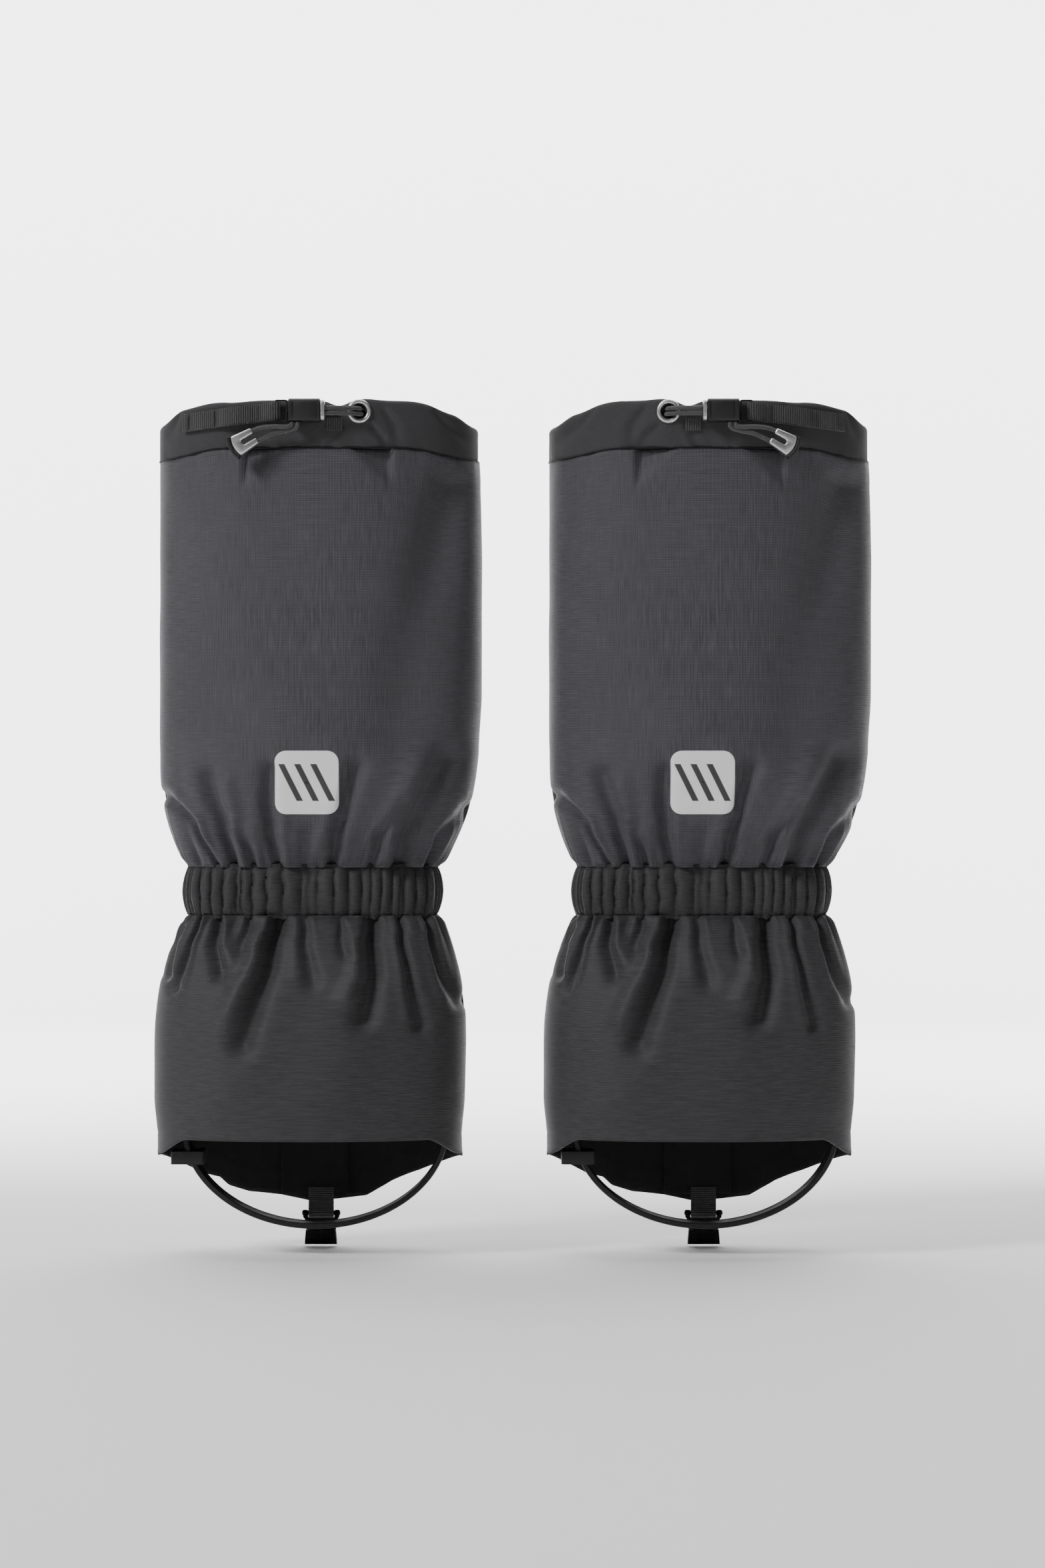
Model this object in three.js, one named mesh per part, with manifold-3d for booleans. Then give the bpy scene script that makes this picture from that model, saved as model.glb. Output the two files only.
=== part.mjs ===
// A pair of trekking gaiters, standing as they are worn. Each one is a fabric sleeve that opens
// down its front, with a drawcord collar above, a gathered elastic band at the ankle, and a skirt
// that covers the boot. A lace hook hangs from the front hem and a strap passes under the instep.
// Millimetres, +Z up the leg, +Y to the toes. The origin lies midway between the two leg axes, level
// with the skirt's rear hem.
import * as THREE from "three";
import { mergeVertices } from "three/addons/utils/BufferGeometryUtils.js";
import Module from "manifold-3d";

const wasm = await Module();
wasm.setup();

// ---- Driving dimensions -------------------------------------------------------------------------

const legSpacing = 210; // between the two leg axes
const clearance = 0.3; // between pieces that touch on the real object

// The sleeve's oval section: half its width, and its depth behind and in front of the leg axis.
const calf = { halfWidth: 86, rear: 45 };
const ankle = { halfWidth: 67.5, rear: 22 };
const boot = { halfWidth: 84.5, rear: 48 };
const frontDepth = 43; // the same all the way up, so that the closure stays straight
const squareness = 2.3; // exponent of the oval: 2 is an ellipse
const calfFlare = 70; // height over which the ankle opens out to the calf
const skirtFlare = 75; // and down to the skirt

const collarTop = 393;
const collarHeight = 26;
const bandTop = 144;
const bandHeight = 25;
const hemDrop = 40; // how far the front hem hangs below the rear hem
const tongueShare = 0.35; // share of that drop that lies in the narrow tongue at the laces

const fabric = 1.2; // thickness of the coated fabric
const lining = 0.8; // of the collar's lighter fabric
const slitWidth = 3; // between the two front edges

// Front closure.
const flapRoot = 24; // where the flap is sewn on, to the +X side of the leg axis
const flapEdge = -23; // its free edge
const underlapEdge = 14;
const tapeWidth = 19;
const tapeThickness = 0.8;
const studX = -14;
const studDrop = 13; // below the top of the collar

// Collar hardware.
const cordDiameter = 2.4;
const eyeletX = 23;
const eyeletRoom = 2.2; // what the eyelet's hole leaves beside its two cords
const eyeletRim = 2.8; // width of the eyelet's flange
const lockWidth = 16.5;
const lockHeight = 12.4;
const lockDepth = 9;
const lockRight = 2.5; // x of the lock's mouth end
const plungerTravel = 2.5;
const webbingWidth = 9.6;
const webbingThickness = 1;
const webbingStart = -70;
const webbingSlope = 5; // how far the webbing rises along its length
const clipLength = 13.3;

// Lace hook and instep strap.
const hookX = -1;
const hookTabWidth = 13.8;
const hookTabThickness = 1.2;
const hookBarRadius = 1.3;
const hookBarLength = 19.7;
const hookBarZ = -46.5;
const hookThickness = 1.4;
const hookCurl = 3.2; // radius of the curl, at the middle of the metal
const strapWidth = 20;
const strapThickness = 3;
const strapHalfSpan = 72;
const strapDrop = 55;
const strapMiddleZ = 4.6;
const strapTop = 10;
const buckleWidth = strapWidth + 4;

// ---- Values that follow from them ---------------------------------------------------------------

const collarSeam = collarTop - collarHeight;
const bandBottom = bandTop - bandHeight;
const lockLeft = lockRight - lockWidth;
const lockTop = collarTop - 0.4;
const lockMiddleZ = lockTop - lockHeight / 2;
const lockBottom = lockTop - lockHeight;
const lockBack = -(calf.rear + 0.6); // the face of the lock that lies on the collar
const lockFront = lockBack - lockDepth;
const plungerY = lockBack - 2.4;
const cordY = lockBack - 6.4; // the plane of the cords inside and below the lock
const cordRadius = cordDiameter / 2;
const channel = cordDiameter + 1.6; // clear width of the drawcord's channel in the collar
const eyeletHole = 2 * cordDiameter + eyeletRoom; // diameter
const eyeletZ = lockMiddleZ;
const cordPitch = cordRadius + 0.2; // half the distance between two cords side by side
const channelMiddle = -(lining + 0.3 + channel / 2); // offset of the drawcord from the outer wall
const hookPivotY = frontDepth - 2.4;

const finishes = {
  upper: { color: 0x4a494c, roughness: 0.75, metalness: 0 },
  collar: { color: 0x363638, roughness: 0.8, metalness: 0 },
  band: { color: 0x2e2e30, roughness: 0.85, metalness: 0 },
  skirt: { color: 0x3d3d3f, roughness: 0.85, metalness: 0 },
  lining: { color: 0x141414, roughness: 0.7, metalness: 0 },
  tape: { color: 0x202022, roughness: 0.95, metalness: 0 },
  webbing: { color: 0x303032, roughness: 0.9, metalness: 0 },
  cord: { color: 0x2a2a2c, roughness: 0.85, metalness: 0 },
  plastic: { color: 0x1c1c1e, roughness: 0.45, metalness: 0 },
  metal: { color: 0x9a9a9c, roughness: 0.3, metalness: 1 },
  darkMetal: { color: 0x161618, roughness: 0.4, metalness: 0.6 },
  strap: { color: 0x121214, roughness: 0.5, metalness: 0 },
};

// ---- The shape of the sleeve --------------------------------------------------------------------

const fade = (share) => 1 - (1 - Math.min(Math.max(share, 0), 1)) ** 2.5;

function sectionAt(z) {
  const towardCalf = fade((z - bandTop) / calfFlare);
  const towardBoot = fade((bandBottom - z) / skirtFlare);
  const blend = (key) =>
    ankle[key] + (calf[key] - ankle[key]) * towardCalf + (boot[key] - ankle[key]) * towardBoot;
  return { halfWidth: blend("halfWidth"), rear: blend("rear") };
}

// A point of the sleeve's outer wall. The turn runs from 0 at the front, over +X, to a full circle,
// and the offset is measured outward along the section's normal.
function wallPoint(turn, z, offset = 0) {
  const { halfWidth, rear } = sectionAt(z);
  const power = 2 / squareness;
  const depth = Math.cos(turn) > 0 ? frontDepth : rear;
  const x = halfWidth * Math.sign(Math.sin(turn)) * Math.abs(Math.sin(turn)) ** power;
  const y = depth * Math.sign(Math.cos(turn)) * Math.abs(Math.cos(turn)) ** power;
  const slope = (value, size) => (Math.sign(value) / size) * Math.abs(value / size) ** (squareness - 1);
  const normal = new THREE.Vector3(slope(x, halfWidth), slope(y, depth), 0).normalize();
  return new THREE.Vector3(x, y, z).addScaledVector(normal, offset);
}

// The turn at which the wall, in front or behind, stands at a given x.
function turnAt(x, z, side = 1) {
  const share = Math.min(Math.abs(x) / sectionAt(z).halfWidth, 1);
  const fromFront = Math.asin(share ** (squareness / 2));
  const turn = side > 0 ? fromFront : Math.PI - fromFront;
  return x < 0 ? -turn : turn;
}

const frontPoint = (x, z, offset) => wallPoint(turnAt(x, z, 1), z, offset);
const rearPoint = (x, z, offset) => wallPoint(turnAt(x, z, -1), z, offset);

// Height of the skirt's hem: level behind, falling to the front, lowest at the laces.
function hemAt(turn) {
  const lean = (1 + Math.cos(turn)) / 2;
  return -hemDrop * ((1 - tongueShare) * lean ** 2 + tongueShare * lean ** 10);
}

// ---- Solids -------------------------------------------------------------------------------------

function closed(points, triangles) {
  const volume = triangles.reduce(
    (sum, [a, b, c]) => sum + points[a].dot(new THREE.Vector3().crossVectors(points[b], points[c])),
    0,
  );
  const outward = volume < 0 ? triangles.map(([a, b, c]) => [a, c, b]) : triangles;
  return new THREE.BufferGeometry().setFromPoints(points).setIndex(outward.flat());
}

// A sheet with two faces of the same number of points, carried through a row of stations. The faces
// are given as [offset, height] points at each station, and place turns one into a point in space.
function sheet(stations, faces, place) {
  const rings = stations.map((station) => {
    const [outer, inner] = faces(station);
    return [...outer, ...inner.toReversed()].map(([offset, z]) => place(station, z, offset));
  });
  const count = rings[0].length;
  const last = (rings.length - 1) * count;
  const triangles = [];
  for (let i = 0; i < rings.length - 1; i++) {
    for (let j = 0; j < count; j++) {
      const a = i * count + j;
      const d = i * count + ((j + 1) % count);
      triangles.push([a, a + count, d + count], [a, d + count, d]);
    }
  }
  for (let j = 0; j < count / 2 - 1; j++) {
    const k = count - 1 - j; // the point of the inner face across from point j
    triangles.push([j, j + 1, k - 1], [j, k - 1, k]);
    triangles.push([last + j, last + k - 1, last + j + 1], [last + j, last + k, last + k - 1]);
  }
  return closed(rings.flat(), triangles);
}

const heights = (offset, zs) => zs.map((z) => [offset, z]);

// Turns from one front edge round the leg to the other, with more of them where the oval bends.
const aroundLeg = (count, from, to) =>
  Array.from({ length: count + 1 }, (_, i) => from + ((to - from) * i) / count);

// A sleeve panel from front edge to front edge, between two offsets.
function sleeve(outerOffset, thickness, zsAt) {
  const place = (share, z, offset) => {
    const edge = turnAt(slitWidth / 2, z);
    return wallPoint(edge + (2 * Math.PI - 2 * edge) * share, z, offset);
  };
  const shares = Array.from({ length: 37 }, (_, i) => i / 36);
  const faces = (share) => {
    const zs = zsAt(share * 2 * Math.PI);
    return [heights(outerOffset, zs), heights(outerOffset - thickness, zs)];
  };
  return sheet(shares, faces, place);
}

const basis = {
  X: new THREE.Matrix4().makeBasis(...axes("Y", "Z", "X")),
  Y: new THREE.Matrix4().makeBasis(...axes("X", "Z", "-Y")),
  Z: new THREE.Matrix4(),
};

function axes(...names) {
  return names.map((name) => {
    const unit = new THREE.Vector3();
    unit[name.at(-1).toLowerCase()] = name[0] === "-" ? -1 : 1;
    return unit;
  });
}

// A flat outline drawn across an axis, in the other two axes' order, and extruded along it.
function along(axis, outline, from, to, curveSegments = 6) {
  const depth = to - from;
  const geometry = new THREE.ExtrudeGeometry(outline, { depth, bevelEnabled: false, curveSegments });
  geometry.applyMatrix4(basis[axis]);
  const start = { X: [from, 0, 0], Y: [0, to, 0], Z: [0, 0, from] }[axis];
  return geometry.translate(...start);
}

function rectangle(left, right, low, high, round = 0) {
  const shape = new THREE.Shape();
  if (round === 0) {
    shape.setFromPoints([[left, low], [right, low], [right, high], [left, high]].map(point2));
    return shape;
  }
  shape.moveTo(left + round, low).lineTo(right - round, low);
  shape.absarc(right - round, low + round, round, -Math.PI / 2, 0, false);
  shape.lineTo(right, high - round);
  shape.absarc(right - round, high - round, round, 0, Math.PI / 2, false);
  shape.lineTo(left + round, high);
  shape.absarc(left + round, high - round, round, Math.PI / 2, Math.PI, false);
  shape.lineTo(left, low + round);
  shape.absarc(left + round, low + round, round, Math.PI, 1.5 * Math.PI, false);
  return shape;
}

function point2([x, y]) {
  return new THREE.Vector2(x, y);
}

const circle = (x, y, radius) =>
  new THREE.Shape().absarc(x, y, radius, 0, 2 * Math.PI, false);

const block = (x, y, z) => along("Z", rectangle(x[0], x[1], y[0], y[1]), z[0], z[1]);

// The outline of a strip of even thickness whose middle line is a row of flat points.
function stripOutline(line, thickness) {
  const side = (sign) =>
    line.map((point, i) => {
      const before = line[Math.max(i - 1, 0)];
      const after = line[Math.min(i + 1, line.length - 1)];
      const into = point.clone().sub(before).normalize();
      const out = after.clone().sub(point).normalize();
      const tangent = into.add(out).normalize();
      const half = thickness / 2 / Math.max(Math.abs(tangent.dot(i ? unitTo(before, point) : tangent)), 0.5);
      return new THREE.Vector2(-tangent.y, tangent.x).multiplyScalar(sign * half).add(point);
    });
  return new THREE.Shape([...side(1), ...side(-1).toReversed()]);
}

const unitTo = (from, to) => to.clone().sub(from).normalize();

function solid(geometry) {
  const bare = geometry.clone();
  bare.deleteAttribute("normal");
  bare.deleteAttribute("uv");
  const merged = mergeVertices(bare, 1e-4);
  const mesh = new wasm.Mesh({
    numProp: 3,
    vertProperties: merged.attributes.position.array,
    triVerts: new Uint32Array(merged.index.array),
  });
  return new wasm.Manifold(mesh);
}

function geometryOf(made) {
  const mesh = made.getMesh();
  return new THREE.BufferGeometry()
    .setAttribute("position", new THREE.BufferAttribute(mesh.vertProperties, 3))
    .setIndex(new THREE.BufferAttribute(mesh.triVerts, 1));
}

const cut = (body, ...tools) =>
  geometryOf(tools.reduce((rest, tool) => rest.subtract(solid(tool)), solid(body)));
const join = (...parts) => geometryOf(parts.map(solid).reduce((whole, part) => whole.add(part)));

function cordAlong(points) {
  const octagon = Array.from({ length: 8 }, (_, i) =>
    point2([cordRadius * Math.cos((i * Math.PI) / 4), cordRadius * Math.sin((i * Math.PI) / 4)]),
  );
  const extrudePath = new THREE.CatmullRomCurve3(points, false, "centripetal");
  const steps = Math.ceil(extrudePath.getLength() / (1.9 * cordDiameter));
  return new THREE.ExtrudeGeometry(new THREE.Shape(octagon), { steps, extrudePath });
}

// A turned piece: its profile of [radius, height] points closes on itself or on the axis.
function turned(profile, base, outward, segments = 20) {
  const up = new THREE.Vector3(0, 1, 0);
  const turn = new THREE.Quaternion().setFromUnitVectors(up, outward);
  const lathe = new THREE.LatheGeometry(profile.map(point2), segments);
  lathe.applyQuaternion(turn).translate(base.x, base.y, base.z);
  const at = lathe.getAttribute("position");
  const index = [...lathe.getIndex().array];
  const points = Array.from({ length: at.count }, (_, i) => new THREE.Vector3().fromBufferAttribute(at, i));
  const triangles = Array.from({ length: index.length / 3 }, (_, i) => index.slice(3 * i, 3 * i + 3));
  return closed(points, triangles);
}

// ---- Fabric -------------------------------------------------------------------------------------

const upperShell = () =>
  sleeve(0, fabric, () => [
    bandTop + clearance,
    bandTop + 0.08 * calfFlare,
    bandTop + 0.2 * calfFlare,
    bandTop + 0.4 * calfFlare,
    bandTop + 0.68 * calfFlare,
    bandTop + calfFlare,
    collarSeam,
  ]);

const lowerSkirt = () =>
  sleeve(0, fabric, (turn) => [
    bandBottom - clearance,
    bandBottom - 0.08 * skirtFlare,
    bandBottom - 0.2 * skirtFlare,
    bandBottom - 0.4 * skirtFlare,
    bandBottom - 0.68 * skirtFlare,
    bandBottom - skirtFlare,
    hemAt(turn),
  ]);

const ankleBand = () => sleeve(0, fabric, () => [bandBottom, bandTop]);

// The wide elastic that gathers the band, behind and at the sides only.
function ankleElastic() {
  const outer = -(fabric + clearance);
  const zs = [bandBottom + 1.5, bandTop - 1.5];
  const faces = () => [heights(outer, zs), heights(outer - fabric, zs)];
  return sheet(aroundLeg(28, (40 / 180) * Math.PI, (320 / 180) * Math.PI), faces, wallPoint);
}

// The collar is one strip folded over at the top, open below between its two walls.
function collarBand() {
  const low = collarSeam + clearance;
  const deep = -(2 * lining + channel);
  const outer = [
    [0, low], [0, collarTop - 2], [-1, collarTop], [deep + 1, collarTop], [deep, collarTop - 2], [deep, low],
  ];
  const inner = [
    [-lining, low], [-lining, collarTop - 1.7], [-1.3, collarTop - lining],
    [deep + 1.3, collarTop - lining], [deep + lining, collarTop - 1.7], [deep + lining, low],
  ];
  const place = (share, z, offset) => {
    const edge = turnAt(slitWidth / 2, z);
    return wallPoint(edge + (2 * Math.PI - 2 * edge) * share, z, offset);
  };
  const shares = Array.from({ length: 41 }, (_, i) => i / 40);
  const strip = sheet(shares, () => [outer, inner], place);
  const wall = rearPoint(eyeletX, eyeletZ, 0);
  const holeRadius = eyeletHole / 2 + 0.5 + clearance;
  const hole = along("Y", circle(eyeletX, eyeletZ, holeRadius), wall.y - 3, wall.y + lining + 1.5);
  return cut(strip, hole);
}

// ---- Front closure ------------------------------------------------------------------------------

const frontRows = (low, high) => [
  low,
  ...[bandBottom - skirtFlare, bandBottom - 20, bandBottom, bandTop, bandTop + 20, bandTop + calfFlare].filter(
    (z) => z > low + 5 && z < high - 5,
  ),
  high,
];

function frontSheet(xs, thickness, offsetAt, low, high) {
  const zs = frontRows(low, high);
  const faces = (x) => [heights(offsetAt(x) + thickness, zs), heights(offsetAt(x), zs)];
  return sheet(xs, faces, frontPoint);
}

const loopOffset = clearance;
const hookTapeOffset = loopOffset + tapeThickness + clearance;
const flapOffset = hookTapeOffset + tapeThickness + clearance;
const tapeXs = [flapEdge + 1, flapEdge + 1 + tapeWidth / 2, flapEdge + 1 + tapeWidth];

// The underlap keeps water out behind the slit, inside the sleeve.
const closureUnderlap = () =>
  frontSheet(
    [flapEdge, -12, 0, underlapEdge], 1, () => -(fabric + clearance + 1), 3 - hemDrop, collarSeam - 1.5,
  );

// The flap hugs the sleeve at its root and lies over the two tapes at its free edge.
const flapLow = 7 - hemDrop;
const closureFlap = () =>
  frontSheet(
    [flapRoot, flapRoot - 5, 12, 5, -5, studX, flapEdge],
    fabric,
    (x) => clearance + (flapOffset - clearance) * Math.min(Math.max((flapRoot - 4 - x) / 15, 0), 1),
    flapLow,
    collarTop - 2,
  );

const tape = (offset) =>
  frontSheet(tapeXs, tapeThickness, () => offset, flapLow + 3, collarSeam - 5);

const frontward = new THREE.Vector3(0, 1, 0);

function pressStudPost() {
  const base = frontPoint(studX, collarTop - studDrop, clearance + 0.3);
  return turned([[0, 0], [5, 0], [5, 0.6], [2.2, 0.8], [2, 1.5], [0, 1.6]], base, frontward);
}

function pressStudCap() {
  const base = frontPoint(studX, collarTop - studDrop, flapOffset + fabric + clearance + 0.2);
  return turned([[0, 0], [6, 0], [6, 0.7], [5, 1.3], [2.5, 1.7], [0, 1.8]], base, frontward);
}

// ---- Collar hardware, drawn for the gaiter at -X ------------------------------------------------

// The eyelet is crimped to its washer through the collar's outer wall.
function collarEyelet() {
  const base = rearPoint(eyeletX, eyeletZ, 0);
  const outward = rearPoint(eyeletX, eyeletZ, 1).sub(base);
  const hole = eyeletHole / 2;
  const flange = hole + eyeletRim;
  const under = -(lining + 0.3);
  const profile = [
    [hole, under - 0.5], [hole, 1.1], [hole + 0.7, 1.5], [flange - 0.7, 1.5], [flange, 1.0], [flange, 0.6],
    [hole + 0.5, 0.6], [hole + 0.5, under], [hole + 0.9, under], [hole + 0.9, under - 0.3],
    [hole + 0.6, under - 0.5], [hole, under - 0.5],
  ];
  return turned(profile, base, outward, 18);
}

// The drawcord lies in the collar's channel and leaves through the eyelet for the lock. Each run
// starts at its own front edge: the outer one goes round the +X side, the inner one round the -X.
function drawcordRun(side) {
  const z = eyeletZ + side * cordPitch;
  const inChannel = (turn) => wallPoint(turn, z, channelMiddle);
  const start = turnAt(slitWidth / 2 + 2, z);
  const end = turnAt(eyeletX + (side > 0 ? 12 : -14), z, -1);
  const count = side > 0 ? 9 : 12;
  const turns = aroundLeg(count, side * start, side > 0 ? end : end - 2 * Math.PI);
  const near = (dx, offset) => rearPoint(eyeletX + dx, z, offset);
  const inHole = side > 0 ? [near(5.4, channelMiddle - 0.4), near(0.3, -2.2)] : [near(-5, channelMiddle), near(1, -1.6)];
  return cordAlong([
    ...turns.map(inChannel),
    ...inHole,
    near(0.4, 1.6),
    near(-4.5, 5),
    new THREE.Vector3(lockRight + 4, cordY, z),
    new THREE.Vector3(lockRight, cordY, z),
    new THREE.Vector3(lockLeft + 10.2, cordY, z),
  ]);
}

const tunnelDeep = cordRadius + 0.4;
const tunnelHigh = cordPitch + cordRadius + 0.6;
const tunnel = {
  y: [cordY - tunnelDeep, cordY + tunnelDeep],
  z: [lockMiddleZ - tunnelHigh, lockMiddleZ + tunnelHigh],
};
const boreRadius = 1.6;
const endWall = 1;
const exitSlot = [lockLeft + 0.4, lockLeft + 7];

// The lock's body: a bore for the plunger and its spring beside a tunnel for the two cords.
function cordLockBarrel() {
  const body = along("X", rectangle(lockFront, lockBack, lockBottom, lockTop, 2.4), lockLeft, lockRight);
  const inside = lockLeft + endWall;
  return cut(
    body,
    block([inside, lockRight + 1], tunnel.y, tunnel.z),
    along("X", circle(plungerY, lockMiddleZ, boreRadius), inside, lockRight + 1),
    block([inside + 3.5, lockRight + 1], [cordY, plungerY], tunnel.z),
    along("X", circle(plungerY, lockMiddleZ, 1), lockLeft - 1, inside + 1),
    block(exitSlot, tunnel.y, [lockBottom - 1, lockMiddleZ]),
  );
}

// Where the webbing folds round the plunger's outer bar.
const foldX = lockLeft - 5.1;
const jaw = [lockLeft + 8.4, lockLeft + 9.4];

function cordLockPlunger() {
  const windowHigh = webbingWidth / 2 + clearance;
  const frameHigh = windowHigh + 0.9;
  const windowRight = foldX + webbingThickness / 2 + plungerTravel + 0.5;
  const windowLeft = foldX - webbingThickness / 2 - clearance - 0.2;
  const thin = [plungerY - 0.8, plungerY + 0.8];
  const frame = cut(
    block([windowLeft - 1.5, windowRight + 0.8], thin, [lockMiddleZ - frameHigh, lockMiddleZ + frameHigh]),
    block([windowLeft, windowRight], [plungerY - 2, plungerY + 2], [lockMiddleZ - windowHigh, lockMiddleZ + windowHigh]),
  );
  return join(
    frame,
    along("X", circle(plungerY, lockMiddleZ, 0.7), windowRight + 0.4, jaw[1]),
    along("X", circle(plungerY, lockMiddleZ, 1.3), ...jaw),
    block(jaw, [tunnel.y[0] + clearance, plungerY], [tunnel.z[0] + clearance, tunnel.z[1] - clearance]),
  );
}

function cordLockSpring() {
  const turns = 4;
  const from = lockLeft + endWall + clearance + 0.2;
  const length = jaw[0] - clearance - 0.2 - from;
  const points = Array.from({ length: turns * 8 + 1 }, (_, i) => {
    const angle = (i / 8) * 2 * Math.PI;
    const x = from + (length * i) / (turns * 8);
    return new THREE.Vector3(x, plungerY + 1.13 * Math.cos(angle), lockMiddleZ + 1.13 * Math.sin(angle));
  });
  const square = new THREE.Shape([[-0.18, -0.18], [0.18, -0.18], [0.18, 0.18], [-0.18, 0.18]].map(point2));
  const extrudePath = new THREE.CatmullRomCurve3(points);
  return new THREE.ExtrudeGeometry(square, { steps: turns * 8, extrudePath });
}

function cordLockMouth() {
  const left = lockRight + clearance;
  const frame = along(
    "X", rectangle(lockFront + 0.3, lockBack - 0.4, lockMiddleZ - 5.5, lockMiddleZ + 5.5, 2), left, left + 2.2,
  );
  return cut(frame, block([left - 1, left + 4], tunnel.y, tunnel.z));
}

// Flat webbing, sewn to the collar, folded round the plunger's outer bar and back over itself. The
// outer layer stands up in a finger loop between its tacks.
function lockWebbing() {
  const half = webbingThickness / 2;
  const under = 0.4 + half;
  const over = under + webbingThickness + clearance;
  const onCollar = (x, offset) => {
    const point = rearPoint(x, lockMiddleZ, offset);
    return [point.x, point.y];
  };
  const bar = 0.8 + clearance + half;
  const line = [
    ...[webbingStart, -62, -54, -46, -38, -31].map((x) => onCollar(x, under)),
    [foldX - 4.4, plungerY + bar],
    [foldX - 1, plungerY + bar],
    [foldX, plungerY + bar - 1],
    [foldX, plungerY - bar + 1],
    [foldX - 1, plungerY - bar],
    [foldX - 4.4, plungerY - bar],
    ...[[-31, over + 0.8], [-35, 3.6], [-41, 4.4], [-47, 3.8], [-52, over]].map((pair) => onCollar(...pair)),
    ...[-60, webbingStart].map((x) => onCollar(x, over)),
  ].map(point2);
  const outline = stripOutline(line, webbingThickness).getPoints();
  const count = line.length;
  const rise = (x) => (webbingSlope * (x - foldX)) / (foldX - webbingStart);
  const faces = () => [
    [[0, -webbingWidth / 2], [0, webbingWidth / 2]],
    [[1, -webbingWidth / 2], [1, webbingWidth / 2]],
  ];
  const place = (i, z, inner) => {
    const { x, y } = outline[inner ? 2 * count - 1 - i : i];
    return new THREE.Vector3(x, y, z + lockMiddleZ + rise(line[i].x));
  };
  return sheet(line.map((_, i) => i), faces, place);
}

// A fabric tab on the collar that the lock's mouth end is sewn to.
function lockKeeperTab() {
  const xs = [lockRight + 3.5, lockRight + 7.5, lockRight + 11.5];
  const zs = [lockBottom - 4, lockBottom + 2.8];
  return sheet(xs, () => [heights(0.4 + fabric, zs), heights(0.4, zs)], rearPoint);
}

// The two ends of the drawcord below the lock, as [x, y, z] from the lock's lower left edge.
const belowLock = (gap, radii) => -gap - radii * cordRadius;
const upperTail = [
  [3.4 - cordPitch, 0, belowLock(-0.8, 1)],
  [0, -0.4, belowLock(1.3, 1)],
  [-8, -0.4, belowLock(1.3, 1)],
  [-14, -0.2, belowLock(1.8, 1)],
  [-18.2, 0, -4.3],
];
const lowerTail = [
  [3.4 + cordPitch, 0, belowLock(-0.8, 1)],
  [4, 0.4, belowLock(0.5, 2)],
  [-1, 0.8, belowLock(1.1, 3)],
  [-7.7, 0.4, belowLock(2.5, 3)],
  [-16, 0, -9.9],
];
const clipMouth = [-17.5, 0, -7.1];
const clipAngle = (29.7 / 180) * Math.PI; // below level

const fromLock = ([x, y, z]) => new THREE.Vector3(lockLeft + x, cordY + y, lockBottom + z);
const tailStrand = (points) => cordAlong(points.map(fromLock));

// The clip at the cord's end, drawn with its mouth at 0 and its length along +x, then turned into
// place so that it points down and outward.
function placedClip(outline, thickness) {
  const lengthways = new THREE.Vector3(-Math.cos(clipAngle), 0, -Math.sin(clipAngle));
  const across = new THREE.Vector3(-Math.sin(clipAngle), 0, Math.cos(clipAngle));
  const turn = new THREE.Matrix4().makeBasis(lengthways, across, new THREE.Vector3(0, 1, 0));
  const mouth = fromLock(clipMouth);
  return new THREE.ExtrudeGeometry(outline, { depth: thickness, bevelEnabled: false, curveSegments: 8 })
    .translate(clearance, 0, -thickness / 2)
    .applyMatrix4(turn)
    .translate(mouth.x, mouth.y, mouth.z);
}

const clipEndRadius = 12;
const clipEndHalf = 0.5; // half the angle of the rounded end, in radians
const clipEndMiddle = clipLength - clipEndRadius;

function cordEndClip() {
  const outline = new THREE.Shape();
  outline.moveTo(0, -4.5);
  outline.absarc(clipEndMiddle, 0, clipEndRadius, -clipEndHalf, clipEndHalf, false);
  outline.lineTo(0, 4.5).lineTo(0, 1.3).lineTo(7, 1.3);
  outline.absarc(7, 0, 1.3, Math.PI / 2, -Math.PI / 2, true);
  outline.lineTo(0, -1.3);
  return placedClip(outline, 5.5);
}

function cordEndBase() {
  const outline = new THREE.Shape();
  outline.absarc(clipEndMiddle, 0, clipEndRadius + clearance, -clipEndHalf, clipEndHalf, false);
  outline.absarc(clipEndMiddle, 0, clipEndRadius + 2.2, clipEndHalf, -clipEndHalf, true);
  return placedClip(outline, 6.4);
}

// ---- Lace hook and instep strap -----------------------------------------------------------------

const arcPoints = (x, y, radius, from, to, count) =>
  new THREE.Path().absarc(x, y, radius, from, to, to < from).getPoints(count);

// A webbing loop that hangs from the front hem and carries the hook's bar. Drawn in (Y, Z).
function hookTab() {
  const loop = hookBarRadius + 0.35 + hookTabThickness / 2;
  const layer = hookTabThickness / 2 + 0.1;
  const top = hookBarZ + 5.1;
  const line = [
    new THREE.Vector2(hookPivotY + layer, top),
    ...arcPoints(hookPivotY, hookBarZ, loop, Math.PI / 4, -1.25 * Math.PI, 12),
    new THREE.Vector2(hookPivotY - layer, top),
  ];
  const half = hookTabWidth / 2;
  return along("X", stripOutline(line, hookTabThickness), hookX - half, hookX + half);
}

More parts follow.
